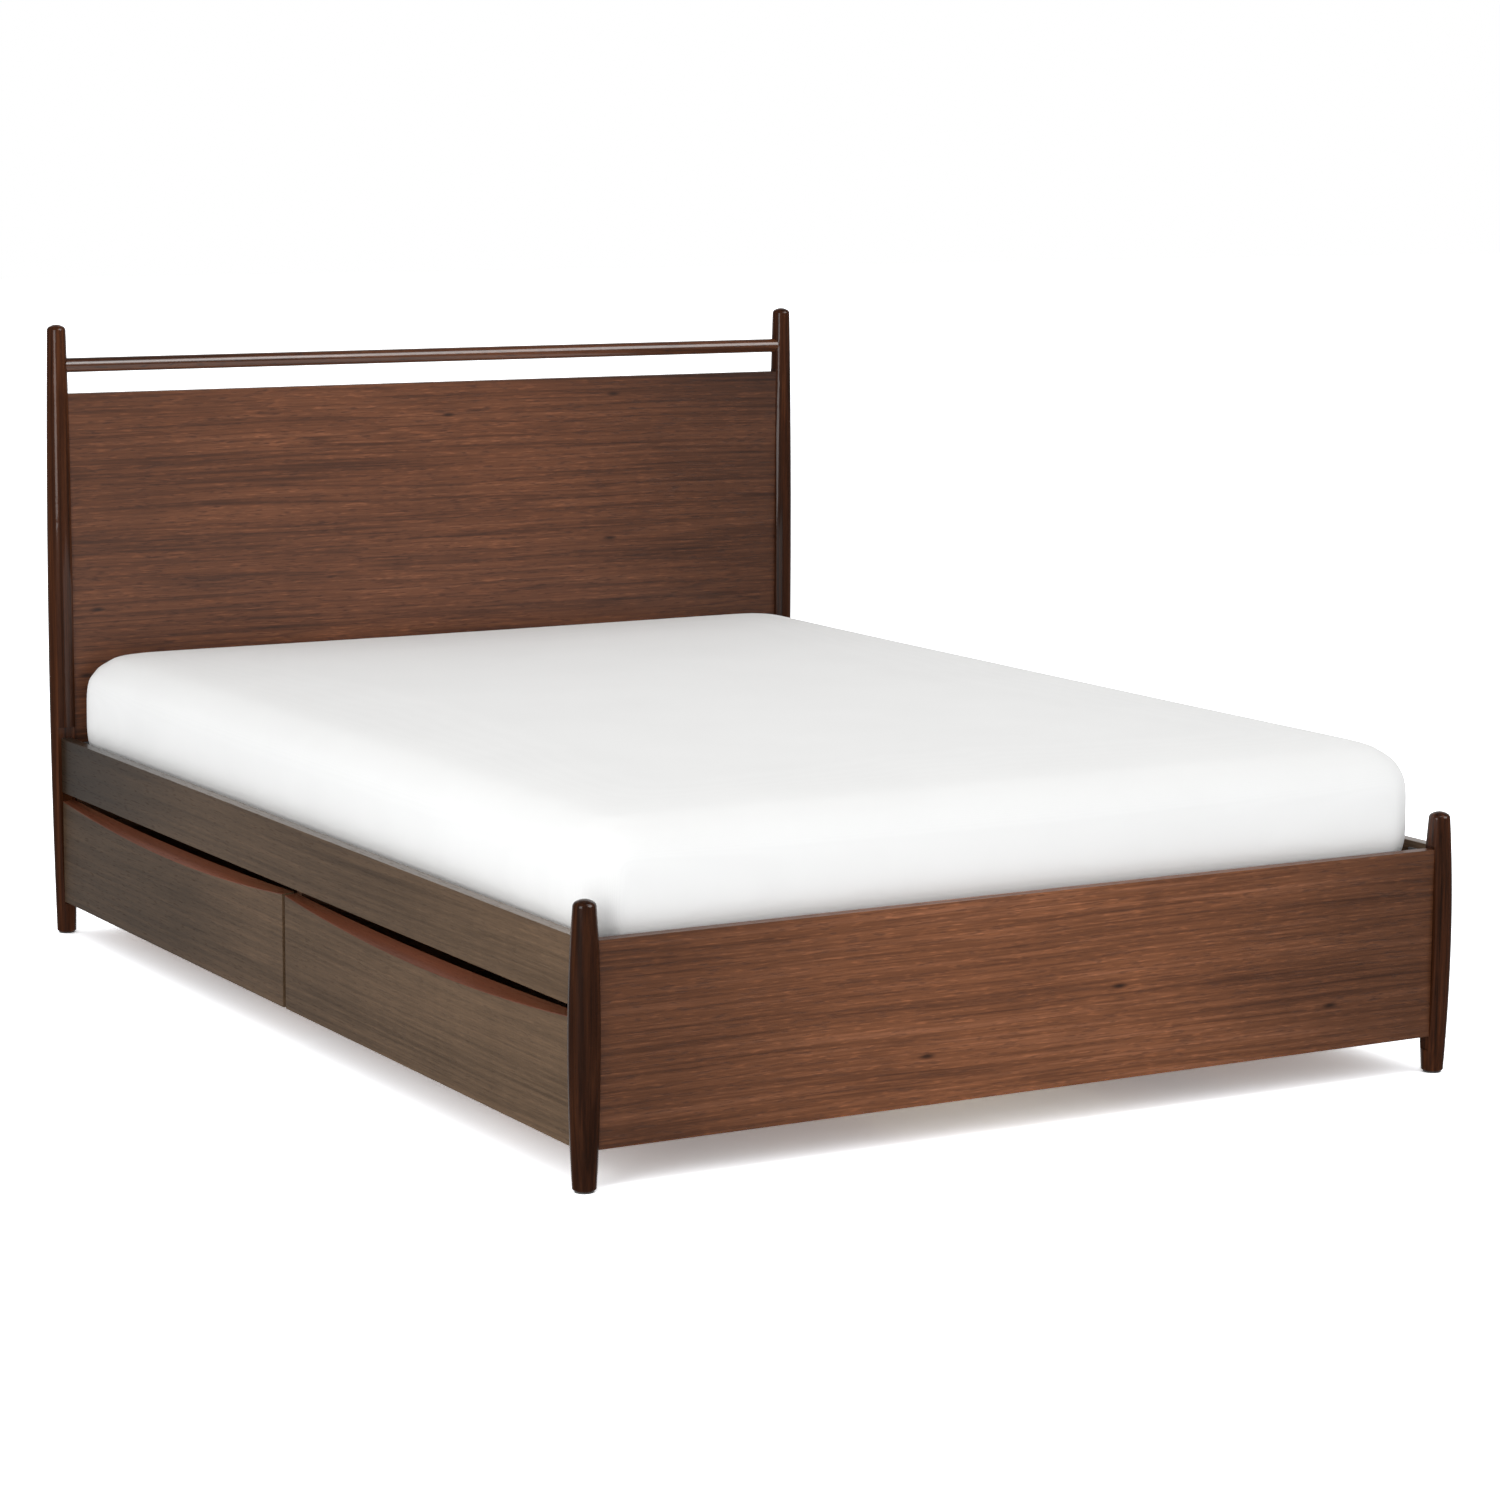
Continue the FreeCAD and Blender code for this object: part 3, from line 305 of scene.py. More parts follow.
    # Flecks: the light glints of cut rays between the pores.
    glints = add(tree, "Mapping", {"Vector": along, "Scale": pore_scale, "Location": (7, 5, 3)})
    glint = add(tree, "TexNoise", {"Vector": glints.outputs["Vector"], "Scale": 0.55, "Detail": 1.0})
    flecks = add(tree, "ValToRGB", {"Fac": glint.outputs["Fac"]}, [(0.56, grey(0)), (0.74, grey(1))])
    glow = add(tree, "Math", {0: flecks.outputs["Color"], 1: fleck, 2: glow},
               operation="MULTIPLY_ADD").outputs[0]
    # Scales the whole board's lightness: partly its own tone, partly painted light and shade.
    glow = add(tree, "Math", {0: glow, 1: brightness}, operation="MULTIPLY").outputs[0]
    lit = add(tree, "VectorMath", {0: ringed, 3: glow}, operation="SCALE").outputs[0]
    pore_share = add(tree, "Math", {0: pores, 1: pore_depth}, operation="MULTIPLY").outputs[0]
    finished = add(tree, "Mix", {0: pore_share, 6: lit, 7: dark}, data_type="RGBA").outputs[2]
    if knots:
        # Pin knots: only a few of the cells hold one, each a dark eye drawn out along the grain.
        eyes = add(tree, "Mapping", {"Vector": wavy, "Scale": (2.6, 9, 9), "Rotation": (math.pi / 2, 0, 0)})
        cells = add(tree, "TexVoronoi", {"Vector": eyes.outputs["Vector"], "Scale": 1.0},
                    voronoi_dimensions="2D").outputs
        chosen = add(tree, "SeparateColor", {0: cells["Color"]}).outputs[0]
        rare = add(tree, "Math", {0: chosen, 1: 0.74}, operation="GREATER_THAN").outputs[0]
        eye = add(tree, "ValToRGB", {"Fac": cells["Distance"]}, [(0.012, grey(0.85)), (0.05, grey(0))])
        knot = add(tree, "Math", {0: eye.outputs["Color"], 1: rare}, operation="MULTIPLY").outputs[0]
        finished = add(tree, "Mix", {0: knot, 6: finished, 7: linear(wood.knot)}, data_type="RGBA").outputs[2]
    # Darker towards the board's ends: partly the wood's own tone, partly painted shade.
    if ends:
        half, low_end, high_end = ends
        reach = add(tree, "SeparateXYZ", {0: along}).outputs["X"]
        for sign, darker in ((-1, low_end), (1, high_end)):
            fall = add(tree, "MapRange", {"Value": reach, "From Min": shift[0] + sign * half * 0.2,
                                          "From Max": shift[0] + sign * half, "To Min": 1.0,
                                          "To Max": 1.0 - darker}, interpolation_type="SMOOTHSTEP")
            finished = add(tree, "VectorMath", {0: finished, 3: fall.outputs["Result"]},
                           operation="SCALE").outputs[0]

    if lipping:
        # Where the scoop cuts through the veneer, the redder solid edge shows.
        normal = add(tree, "NewGeometry").outputs["Normal"]
        upward = add(tree, "SeparateXYZ", {0: normal}).outputs["Z"]
        bare = add(tree, "ValToRGB", {"Fac": upward}, [(0.15, grey(0)), (0.3, grey(1))]).outputs["Color"]
        depth_of_tone = add(tree, "Math", {0: tone.outputs[0], 1: 1.6, 2: 0.1}, operation="MULTIPLY_ADD")
        tint = add(tree, "VectorMath", {0: linear(lipping)[:3], 3: depth_of_tone.outputs[0]},
                   operation="SCALE").outputs[0]
        finished = add(tree, "Mix", {0: bare, 6: finished, 7: tint}, data_type="RGBA").outputs[2]

    tree.links.new(finished, shader.inputs["Base Color"])
    sheen = add(tree, "Math", {0: pores, 1: 0.18, 2: roughness}, operation="MULTIPLY_ADD").outputs[0]
    tree.links.new(sheen, shader.inputs["Roughness"])
    shader.inputs["Specular IOR Level"].default_value = specular
    shader.inputs["Coat Weight"].default_value = coat
    shader.inputs["Coat Roughness"].default_value = coat_roughness
    hollow = add(tree, "Math", {0: fibres, 1: pores}, operation="SUBTRACT").outputs[0]
    wear(tree, shader, hollow, 0.3, 0.3 * MM)
    return material


def softwood(name, grain, tones, seed):
    """Sawn pine, planed and left bare: pale broad rings, amber latewood and a few small knots."""
    material, tree, shader = new_material(name)
    place = add(tree, "TexCoord").outputs["Object"]
    along = add(tree, "Mapping", {"Vector": place, "Rotation": GRAIN_TURN[grain],
                                  "Location": (seed * 1.7, 0, 0)}).outputs["Vector"]
    slow = add(tree, "Mapping", {"Vector": along, "Scale": (1.4, 9, 9)}).outputs["Vector"]
    drift = add(tree, "TexNoise", {"Vector": slow, "Scale": 1.0, "Detail": 2.0}).outputs["Color"]
    pushed = add(tree, "VectorMath", {0: drift, 1: (0.0, 0.05, 0.05)}, operation="MULTIPLY").outputs[0]
    wavy = add(tree, "VectorMath", {0: along, 1: pushed}, operation="ADD").outputs[0]
    heart = add(tree, "Mapping", {"Vector": wavy, "Location": (0, 0.05, 0.09),
                                  "Rotation": (0, 0, 0.03)}).outputs["Vector"]
    rings = add(tree, "TexWave", {"Vector": heart, "Scale": 42.0, "Distortion": 1.0, "Detail": 2.0},
                wave_type="RINGS", rings_direction="X", wave_profile="SAW").outputs["Fac"]
    pale, amber, knot = (linear(code) for code in tones)
    body = add(tree, "ValToRGB", {"Fac": rings},
               [(0.0, amber), (0.12, pale), (0.7, pale), (0.97, amber)]).outputs["Color"]
    spots = add(tree, "Mapping", {"Vector": along, "Scale": (2.2, 9, 9)}).outputs["Vector"]
    cells = add(tree, "TexVoronoi", {"Vector": spots, "Scale": 1.0}).outputs["Distance"]
    eyes = add(tree, "ValToRGB", {"Fac": cells}, [(0.05, grey(1)), (0.11, grey(0))]).outputs["Color"]
    knotted = add(tree, "Mix", {0: eyes, 6: body, 7: knot}, data_type="RGBA").outputs[2]
    tree.links.new(knotted, shader.inputs["Base Color"])
    shader.inputs["Roughness"].default_value = 0.62
    fine = add(tree, "Mapping", {"Vector": along, "Scale": (20, 500, 500)}).outputs["Vector"]
    fibres = add(tree, "TexNoise", {"Vector": fine, "Scale": 1.0, "Detail": 2.0}).outputs["Fac"]
    wear(tree, shader, fibres, 0.35, 0.3 * MM)
    return material


def plywood(name, grain, seed, ply=1.5 * MM):
    """Birch plywood, sealed and drawn a dark walnut brown: partly a stain, partly painted shade, so that the
    gaps above the drawers read dark. Rotary-cut faces with flat wandering figure, and thin dark glue lines
    where an edge shows the plies."""
    material, tree, shader = new_material(name)
    place = add(tree, "TexCoord").outputs["Object"]
    along = add(tree, "Mapping", {"Vector": place, "Rotation": GRAIN_TURN[grain],
                                  "Location": (seed * 2.3, 0, 0)}).outputs["Vector"]
    slow = add(tree, "Mapping", {"Vector": along, "Scale": (2.0, 11, 11)}).outputs["Vector"]
    figure = add(tree, "TexNoise", {"Vector": slow, "Scale": 1.0, "Detail": 4.0, "Distortion": 0.8})
    # The dark brown is partly a stain, partly painted shade for the gaps above the drawers.
    face = add(tree, "ValToRGB", {"Fac": figure.outputs["Fac"]},
               [(0.35, linear("#4a3122")), (0.5, linear("#5d402d")), (0.65, linear("#6f5039"))])
    fine = add(tree, "Mapping", {"Vector": along, "Scale": (30, 380, 380)}).outputs["Vector"]
    fibres = add(tree, "TexNoise", {"Vector": fine, "Scale": 1.0, "Detail": 2.0}).outputs["Fac"]
    # The plies lie side by side across the thin way of the upright boards, and show on top edges.
    glue = add(tree, "TexWave", {"Vector": place, "Scale": math.pi / 10 / ply / 2, "Distortion": 0.0},
               wave_type="BANDS", bands_direction="X" if grain == "Y" else "Y").outputs["Fac"]
    line = add(tree, "ValToRGB", {"Fac": glue}, [(0.45, grey(0)), (0.6, grey(1))]).outputs["Color"]
    normal = add(tree, "NewGeometry").outputs["Normal"]
    upward = add(tree, "SeparateXYZ", {0: normal}).outputs["Z"]
    edge = add(tree, "Math", {0: upward, 1: 0.7}, operation="GREATER_THAN").outputs[0]
    both = add(tree, "Math", {0: line, 1: edge}, operation="MULTIPLY").outputs[0]
    share = add(tree, "Math", {0: both, 1: 0.6}, operation="MULTIPLY").outputs[0]
    layered = add(tree, "Mix", {0: share, 6: face.outputs["Color"], 7: linear("#2a1a10")},
                  data_type="RGBA").outputs[2]
    tree.links.new(layered, shader.inputs["Base Color"])
    shader.inputs["Roughness"].default_value = 0.5
    wear(tree, shader, fibres, 0.2, 0.2 * MM)
    return material


def rolled_steel(name, colour, roughness, grain):
    """Cold-rolled steel, zinc plated: a cool grey metal with fine rolling lines, dulled by the
    plating's thin passive film."""
    material, tree, shader = new_material(name)
    place = add(tree, "TexCoord").outputs["Object"]
    stretched = add(tree, "Mapping", {"Vector": place, "Rotation": GRAIN_TURN[grain],
                                      "Scale": (12, 900, 900)}).outputs["Vector"]
    lines = add(tree, "TexNoise", {"Vector": stretched, "Scale": 1.0, "Detail": 3.0}).outputs["Fac"]
    blotches = add(tree, "TexNoise", {"Vector": place, "Scale": 60.0, "Detail": 3.0}).outputs["Fac"]
    base = linear(colour)
    paler = tuple(min(1.0, v * 1.25) for v in base[:3]) + (1.0,)
    shade = add(tree, "Mix", {0: blotches, 6: base, 7: paler}, data_type="RGBA").outputs[2]
    tree.links.new(shade, shader.inputs["Base Color"])
    shader.inputs["Metallic"].default_value = 0.65
    rough = add(tree, "Math", {0: lines, 1: 0.2, 2: roughness}, operation="MULTIPLY_ADD").outputs[0]
    tree.links.new(rough, shader.inputs["Roughness"])
    wear(tree, shader, lines, 0.12, 0.1 * MM)
    return material


def wool_felt(name):
    """Needled wool felt: dark grey, matt and matted, with paler stray fibres."""
    material, tree, shader = new_material(name)
    place = add(tree, "TexCoord").outputs["Object"]
    mat = add(tree, "TexNoise", {"Vector": place, "Scale": 900.0, "Detail": 4.0, "Distortion": 2.0})
    shade = add(tree, "ValToRGB", {"Fac": mat.outputs["Fac"]},
                [(0.35, linear("#2b2a29")), (0.62, linear("#5b5854"))]).outputs["Color"]
    tree.links.new(shade, shader.inputs["Base Color"])
    shader.inputs["Roughness"].default_value = 0.95
    shader.inputs["Sheen Weight"].default_value = 0.3
    wear(tree, shader, mat.outputs["Fac"], 0.6, 0.4 * MM)
    return material


def cotton(name, code, thread):
    """Woven cotton: white plain weave with soft slubs, matt, with a little light caught in its nap.
    A percale thread is about 0.3 mm, so the weave is drawn coarser, to show."""
    material, tree, shader = new_material(name)
    place = add(tree, "TexCoord").outputs["Object"]
    threads = []
    for direction in ("X", "Y", "Z"):
        weave = add(tree, "TexWave", {"Vector": place, "Scale": math.pi / 10 / thread, "Distortion": 0.6,
                                      "Detail": 1.0, "Detail Scale": 3.0},
                    wave_type="BANDS", bands_direction=direction)
        threads.append(weave.outputs["Fac"])
    pair = add(tree, "Math", {0: threads[0], 1: threads[1]}, operation="ADD").outputs[0]
    weave = add(tree, "Math", {0: pair, 1: threads[2]}, operation="ADD").outputs[0]
    cloud = add(tree, "TexNoise", {"Vector": place, "Scale": 5.0, "Detail": 3.0}).outputs["Fac"]
    base = linear(code)
    greyer = tuple(v * 0.95 for v in base[:3]) + (1.0,)
    soft = add(tree, "Mix", {0: cloud, 6: base, 7: greyer}, data_type="RGBA").outputs[2]
    flecks = add(tree, "MapRange", {"Value": weave, "From Min": 0.0, "From Max": 3.0, "To Min": 0.97,
                                    "To Max": 1.0}).outputs["Result"]
    woven = add(tree, "VectorMath", {0: soft, 3: flecks}, operation="SCALE").outputs[0]
    tree.links.new(woven, shader.inputs["Base Color"])
    shader.inputs["Roughness"].default_value = 0.9
    shader.inputs["Sheen Weight"].default_value = 0.12
    wear(tree, shader, weave, 0.25, 0.25 * MM)
    return material


def finish_nodes(names, material):
    """Gives CAD nodes a material in every one of their slots."""
    for name in names:
        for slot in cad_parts[name].material_slots:
            slot.material = material


# ---------------------------------------------------------------- mesh helpers
def new_piece(name, bm, material, body):
    """A finished mesh as a piece that rides on a CAD body."""
    mesh = bpy.data.meshes.new(name)
    bm.to_mesh(mesh)
    bm.free()
    for polygon in mesh.polygons:
        polygon.use_smooth = True
    mesh.materials.append(material)
    piece = bpy.data.objects.new(name, mesh)
    bpy.context.scene.collection.objects.link(piece)
    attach(piece, body)
    return piece


def smoothstep(low, high, value):
    share = min(1.0, max(0.0, (value - low) / (high - low)))
    return share * share * (3 - 2 * share)


def rounded_block(low, high, corner, upper_round, lower_round):
    """A block with rounded corners in plan and rounded upper and lower edges."""
    bm = bmesh.new()
    bmesh.ops.create_cube(bm, size=1.0)
    bmesh.ops.scale(bm, vec=high - low, verts=bm.verts)
    bmesh.ops.translate(bm, vec=(high + low) / 2, verts=bm.verts)
    upright = [e for e in bm.edges if abs(e.verts[0].co.z - e.verts[1].co.z) > MM]
    bmesh.ops.bevel(bm, geom=upright, offset=corner, affect="EDGES", segments=12, profile=0.5, material=-1)
    # The upper edges are softer than the corners are round, so each level shrinks as a rim does.
    tall = [e for e in bm.edges if abs(e.verts[0].co.z - e.verts[1].co.z) > MM]
    bmesh.ops.subdivide_edges(bm, edges=tall, cuts=LEVELS, use_grid_fill=True)
    middle, reach = (low + high) / 2, (high - low) / 2
    for vertex in bm.verts:
        depth = high.z - vertex.co.z
        rise = vertex.co.z - low.z
        inset = rim_inset(depth, upper_round) + rim_inset(rise, lower_round)
        for axis in (0, 1):
            vertex.co[axis] = middle[axis] + (vertex.co[axis] - middle[axis]) * (1 - inset / reach[axis])
    return bm


def rim_inset(depth, radius):
    """How far a rounded rim stands in from the wall, at a depth below the flat."""
    if depth >= radius:
        return 0.0
    return radius - math.sqrt(radius**2 - (radius - depth) ** 2)


def inflate(piece, settings):
    """Swells a closed cover by cloth simulation, then holds each point within the swell."""
    before = [v.co.copy() for v in piece.data.vertices]
    cloth = piece.modifiers.new("Cover", "CLOTH")
    cloth.settings.use_pressure = True
    cloth.settings.uniform_pressure_force = settings.pressure
    cloth.settings.effector_weights.gravity = 0.0
    cloth.settings.quality = 4
    scene = bpy.context.scene
    for step in range(1, settings.frames + 1):
        scene.frame_set(step)
    shown = piece.evaluated_get(bpy.context.evaluated_depsgraph_get())
    after = [v.co.copy() for v in shown.data.vertices]
    piece.modifiers.remove(cloth)
    scene.frame_set(1)
    for vertex, start, end in zip(piece.data.vertices, before, after):
        move = end - start
        if move.length > settings.swell:
            move *= settings.swell / move.length
        vertex.co = start + move


def fit_to_box(piece, low, high):
    """Scales a mesh so that it just fills a box."""
    places = [v.co for v in piece.data.vertices]
    for axis in range(3):
        least = min(place[axis] for place in places)
        most = max(place[axis] for place in places)
        scale = (high[axis] - low[axis]) / (most - least)
        for place in places:
            place[axis] = low[axis] + (place[axis] - least) * scale


def apply_modifiers(piece):
    """Replaces a piece's mesh with what its modifiers make of it."""
    shown = piece.evaluated_get(bpy.context.evaluated_depsgraph_get())
    mesh = bpy.data.meshes.new_from_object(shown)
    piece.modifiers.clear()
    piece.data = mesh
    for polygon in mesh.polygons:
        polygon.use_smooth = True


# ------------------------------------------------------------------- operators
class BED_OT_stage(bpy.types.Operator):
    """Make the camera, the lamps, the white surroundings and the pale floor"""

    bl_idname = "bed.stage"
    bl_label = "Stage"

    def execute(self, context):
        stage = context.scene.bed_stage
        self.make_camera(context, stage)
        self.make_world(context, stage)
        self.make_floor(context, stage)
        middle = Vector((0, 0, 0.4))
        above = Vector((0, 0.6, 0.8))
        self.make_lamp(context, "key_lamp", (1.2, -5.6, 2.6), middle, (4.0, 2.6), stage.key_power)
        self.make_lamp(context, "fill_lamp", (-4.4, -2.8, 1.5), middle, (2.0, 2.4), stage.fill_power)
        self.make_lamp(context, "strip_lamp", (0.6, -2.6, 3.6), above, (2.4, 0.5), stage.strip_power)
        context.scene.view_settings.view_transform = "Standard"
        return {"FINISHED"}

    def make_camera(self, context, stage):
        camera = bpy.data.cameras.new("camera")
        camera.sensor_width = 36.0
        camera.lens = stage.camera_lens
        camera.shift_x, camera.shift_y = stage.camera_shift
        camera.clip_end = 100.0
        yaw, pitch, roll = stage.camera_yaw, stage.camera_pitch, stage.camera_roll
        ahead = Vector((math.sin(yaw) * math.cos(pitch), math.cos(yaw) * math.cos(pitch), -math.sin(pitch)))
        right = Vector((math.cos(yaw), -math.sin(yaw), 0))
        up = right.cross(ahead)
        across = math.cos(roll) * right + math.sin(roll) * up
        upward = math.cos(roll) * up - math.sin(roll) * right
        turn = Matrix((across, upward, -ahead)).transposed().to_4x4()
        seat = bpy.data.objects.new("camera", camera)
        seat.matrix_world = Matrix.Translation(stage.camera_place) @ turn
        context.scene.collection.objects.link(seat)
        context.scene.camera = seat

    def make_world(self, context, stage):
        """White to the eye. Gloss finds the backdrop, the softbox, and dim room elsewhere."""
        world = bpy.data.worlds.new("white_studio")
        world.use_nodes = True
        tree = world.node_tree
        direction = add(tree, "TexCoord").outputs["Generated"]
        facing = add(tree, "VectorMath", {0: direction, 1: BACKDROP}, operation="DOT_PRODUCT")
        backdrop = add(tree, "MapRange", {"Value": facing.outputs["Value"], "From Min": 0.58, "From Max": 0.9,
                                          "To Min": stage.room_gloss, "To Max": 0.9}).outputs["Result"]
        toward = add(tree, "VectorMath", {0: direction, 1: SOFTBOX}, operation="DOT_PRODUCT")
        softbox = add(tree, "MapRange", {"Value": toward.outputs["Value"], "From Min": 0.93, "From Max": 0.97,
                                         "To Min": 0.0, "To Max": stage.softbox}).outputs["Result"]
        shine = add(tree, "Math", {0: backdrop, 1: softbox}, operation="ADD").outputs[0]
        rays = add(tree, "LightPath").outputs
        soft = add(tree, "Mix", {0: rays["Is Glossy Ray"], 2: stage.sky, 3: shine}, data_type="FLOAT")
        seen = add(tree, "Mix", {0: rays["Is Camera Ray"], 2: soft.outputs[0], 3: 1.0}, data_type="FLOAT")
        tree.links.new(seen.outputs[0], tree.nodes["Background"].inputs["Strength"])
        tree.nodes["Background"].inputs["Color"].default_value = grey(1.0)
        context.scene.world = world

    def make_lamp(self, context, name, place, target, size, power):
        lamp = bpy.data.lights.new(name, "AREA")
        lamp.shape = "RECTANGLE"
        lamp.size, lamp.size_y = size
        lamp.energy = power
        seat = bpy.data.objects.new(name, lamp)
        aim = (target - Vector(place)).to_track_quat("-Z", "Y")
        seat.matrix_world = Matrix.LocRotScale(Vector(place), aim, None)
        context.scene.collection.objects.link(seat)

    def lit_paint(self, tree, paint, glow):
        """Matt paint that also glows, with a little blue that undoes the warmth the wood casts on it."""
        tint = tuple(paint * share for share in (0.975, 1.0, 1.03)) + (1.0,)
        matt = add(tree, "BsdfDiffuse", {"Color": tint})
        light = add(tree, "Emission", {"Strength": glow})
        return add(tree, "AddShader", {0: matt.outputs[0], 1: light.outputs[0]}).outputs[0]

    def make_floor(self, context, stage):
        bm = bmesh.new()
        bmesh.ops.create_grid(bm, x_segments=1, y_segments=1, size=stage.floor_size / 2)
        mesh = bpy.data.meshes.new("floor")
        bm.to_mesh(mesh)
        bm.free()
        material, tree, shader = new_material("white_studio_floor")
        # The camera sees the floor lit past white, so that only deep shade shows on it. To everything
        # else it is plain pale paint, so that it doesn't throw that much light up at the bed.
        seen = self.lit_paint(tree, stage.floor_exposure, stage.floor_glow_seen)
        unseen = self.lit_paint(tree, stage.floor_paint, stage.floor_glow)
        to_camera = add(tree, "LightPath").outputs["Is Camera Ray"]
        both = add(tree, "MixShader", {0: to_camera, 1: unseen, 2: seen})
        tree.links.new(both.outputs[0], tree.nodes["Material Output"].inputs["Surface"])
        tree.nodes.remove(shader)
        mesh.materials.append(material)
        floor = bpy.data.objects.new("floor", mesh)
        context.scene.collection.objects.link(floor)
        floor.visible_glossy = False


class BED_OT_legs(bpy.types.Operator):
    """Finish the turned legs and the headboard rod"""

    bl_idname = "bed.legs"
    bl_label = "Legs and rod"

    def execute(self, context):
        wood = context.scene.bed_wood
        tones = (wood.leg_dark, wood.leg_mid, wood.leg_light)
        legs = [f"{board}_leg_{side}" for board in ("headboard", "footboard") for side in SIDES]
        # The legs are drawn in four brightnesses, in the order of their names above: partly each stick's own
        # tone, partly painted light and shade.
        for seed, (leg, brightness) in enumerate(zip(legs, (1.35, 1.3, 0.72, 1.6)), 1):
            finish_nodes([leg], walnut(f"turned_walnut_{leg}", "Z", tones, seed, pith=(0.03, 0.9, 0.01),
                                       figure=0.4, roughness=0.4, coat=0.6,
                                       pore_depth=0.15, fleck=0.1, specular=0.1, coat_roughness=0.09,
                                       brightness=brightness))
        tones = (wood.leg_dark, wood.leg_light, wood.headboard_mid)
        rod = walnut("turned_walnut_rod", "X", tones, 7, pith=(0.02, 1.0, 0.01), figure=0.4, roughness=0.3,
                     coat=1.0, fleck=0.1, coat_roughness=0.07)
        finish_nodes(["headboard_rod"], rod)
        return {"FINISHED"}


class BED_OT_panels(bpy.types.Operator):
    """Finish the headboard and the footboard"""

    bl_idname = "bed.panels"
    bl_label = "Headboard and footboard"

    def execute(self, context):
        wood = context.scene.bed_wood
        tones = (wood.headboard_dark, wood.headboard_mid, wood.headboard_light)
        # Both boards are drawn darker towards their ends: partly the veneer's own tone, partly painted shade.
        finish_nodes(["headboard_panel"], walnut("walnut_veneer_headboard", "X", tones, 11,
                                                 pith=(0.11, 0.86, 0.02), figure=0.85,
                                                 ends=(0.78, 0.18, 0.4), knots=True))
        tones = (wood.footboard_dark, wood.footboard_mid, wood.footboard_light)
        finish_nodes(["footboard_panel"], walnut("walnut_veneer_footboard", "X", tones, 12,
                                                 pith=(0.06, 0.16, 0.02), figure=0.8,
                                                 ends=(0.78, 0.44, 0.5), knots=True))
        return {"FINISHED"}


class BED_OT_rails(bpy.types.Operator):
    """Finish the side rails"""

    bl_idname = "bed.rails"
    bl_label = "Side rails"

    def execute(self, context):
        wood = context.scene.bed_wood
        tones = (wood.side_dark, wood.side_mid, wood.side_light)
        # The rails are drawn paler towards the foot and much darker towards the head, and a little dimmer
        # overall: partly the wood's own tone, partly painted light and shade.
        for seed, side in enumerate(SIDES, 21):
            finish_nodes([f"side_rail_{side}"], walnut(f"walnut_rail_{side}", "Y", tones, seed,
                                                       pith=(0.1, 0.3, 0.03), roughness=0.34,
                                                       coat=0.3, ends=(1.06, -0.3, 0.7), brightness=0.93,
                                                       pore_depth=0.25, fleck=0.15))
        return {"FINISHED"}


class BED_OT_drawers(bpy.types.Operator):
    """Finish the drawer fronts, boxes and runners"""

    bl_idname = "bed.drawers"
    bl_label = "Drawers"

    def execute(self, context):
        wood = context.scene.bed_wood
        tones = (wood.side_dark, wood.side_mid, wood.side_light)
        sides = plywood("birch_ply_drawer_sides", "X", 1)
        backs = plywood("birch_ply_drawer_backs", "Y", 2)
        steel = rolled_steel("zinc_plated_runners", "#9c9fa3", 0.25, "X")
        # The fronts carry on the rails' tone: the foot drawers paler towards the foot of the bed, the head
        # drawers darker towards both their ends. This is partly the wood's own tone, partly painted light and
        # shade.
        half_front = 0.5
        darker = {"foot": (half_front, -0.15, 0.0), "head": (half_front, 0.2, 0.3)}
        for seed, name in enumerate(DRAWERS, 31):
            front = walnut(f"walnut_front_{name}", "Y", tones, seed, pith=(0.1, 0.16, 0.04), roughness=0.36,
                           ends=darker[name[-4:]], pore_depth=0.25, fleck=0.15, lipping=wood.lipping)
            finish_nodes([f"{name}_front"], front)
            finish_nodes([f"{name}_side_a", f"{name}_side_b"], sides)
            finish_nodes([f"{name}_back", f"{name}_bottom"], backs)
            finish_nodes([f"{name}_runner_{part}" for part in ("outer", "middle", "inner")], steel)
        return {"FINISHED"}


class BED_OT_platform(bpy.types.Operator):
    """Finish the slats, ledgers, beam, posts and bulkheads"""

    bl_idname = "bed.platform"
    bl_label = "Platform"

    def execute(self, context):
        tones = ("#e2c79b", "#c99c63", "#6b4425")
        finish_nodes(["slats"], softwood("planed_pine_slats", "X", tones, 1))
        finish_nodes(["centre_beam", "slat_ledger_left", "slat_ledger_right"],
                     softwood("planed_pine_beam", "Y", tones, 2))
        finish_nodes(["centre_post_foot", "centre_post_head"],
                     softwood("turned_pine_posts", "Z", tones, 3))
        finish_nodes([f"bulkhead_{tag}" for tag in ("foot", "middle", "head")],
                     plywood("birch_ply_bulkheads", "X", 4, ply=2 * MM))
        return {"FINISHED"}


class BED_OT_fixings(bpy.types.Operator):
    """Finish the corner brackets, bolts, dowels and felt glides"""

    bl_idname = "bed.fixings"
    bl_label = "Fixings"

    def execute(self, context):
        finish_nodes(["corner_brackets"], rolled_steel("zinc_plated_brackets", "#8f9296", 0.3, "Z"))
        finish_nodes(["bracket_bolts"], rolled_steel("zinc_plated_bolts", "#a7a9ab", 0.2, "Z"))
        beech = softwood("beech_dowels", "X", ("#d9b487", "#c79c6c", "#c79c6c"), 5)
        finish_nodes(["headboard_dowels", "footboard_dowels"], beech)
        finish_nodes(["felt_glides"], wool_felt("wool_felt_glides"))
        return {"FINISHED"}


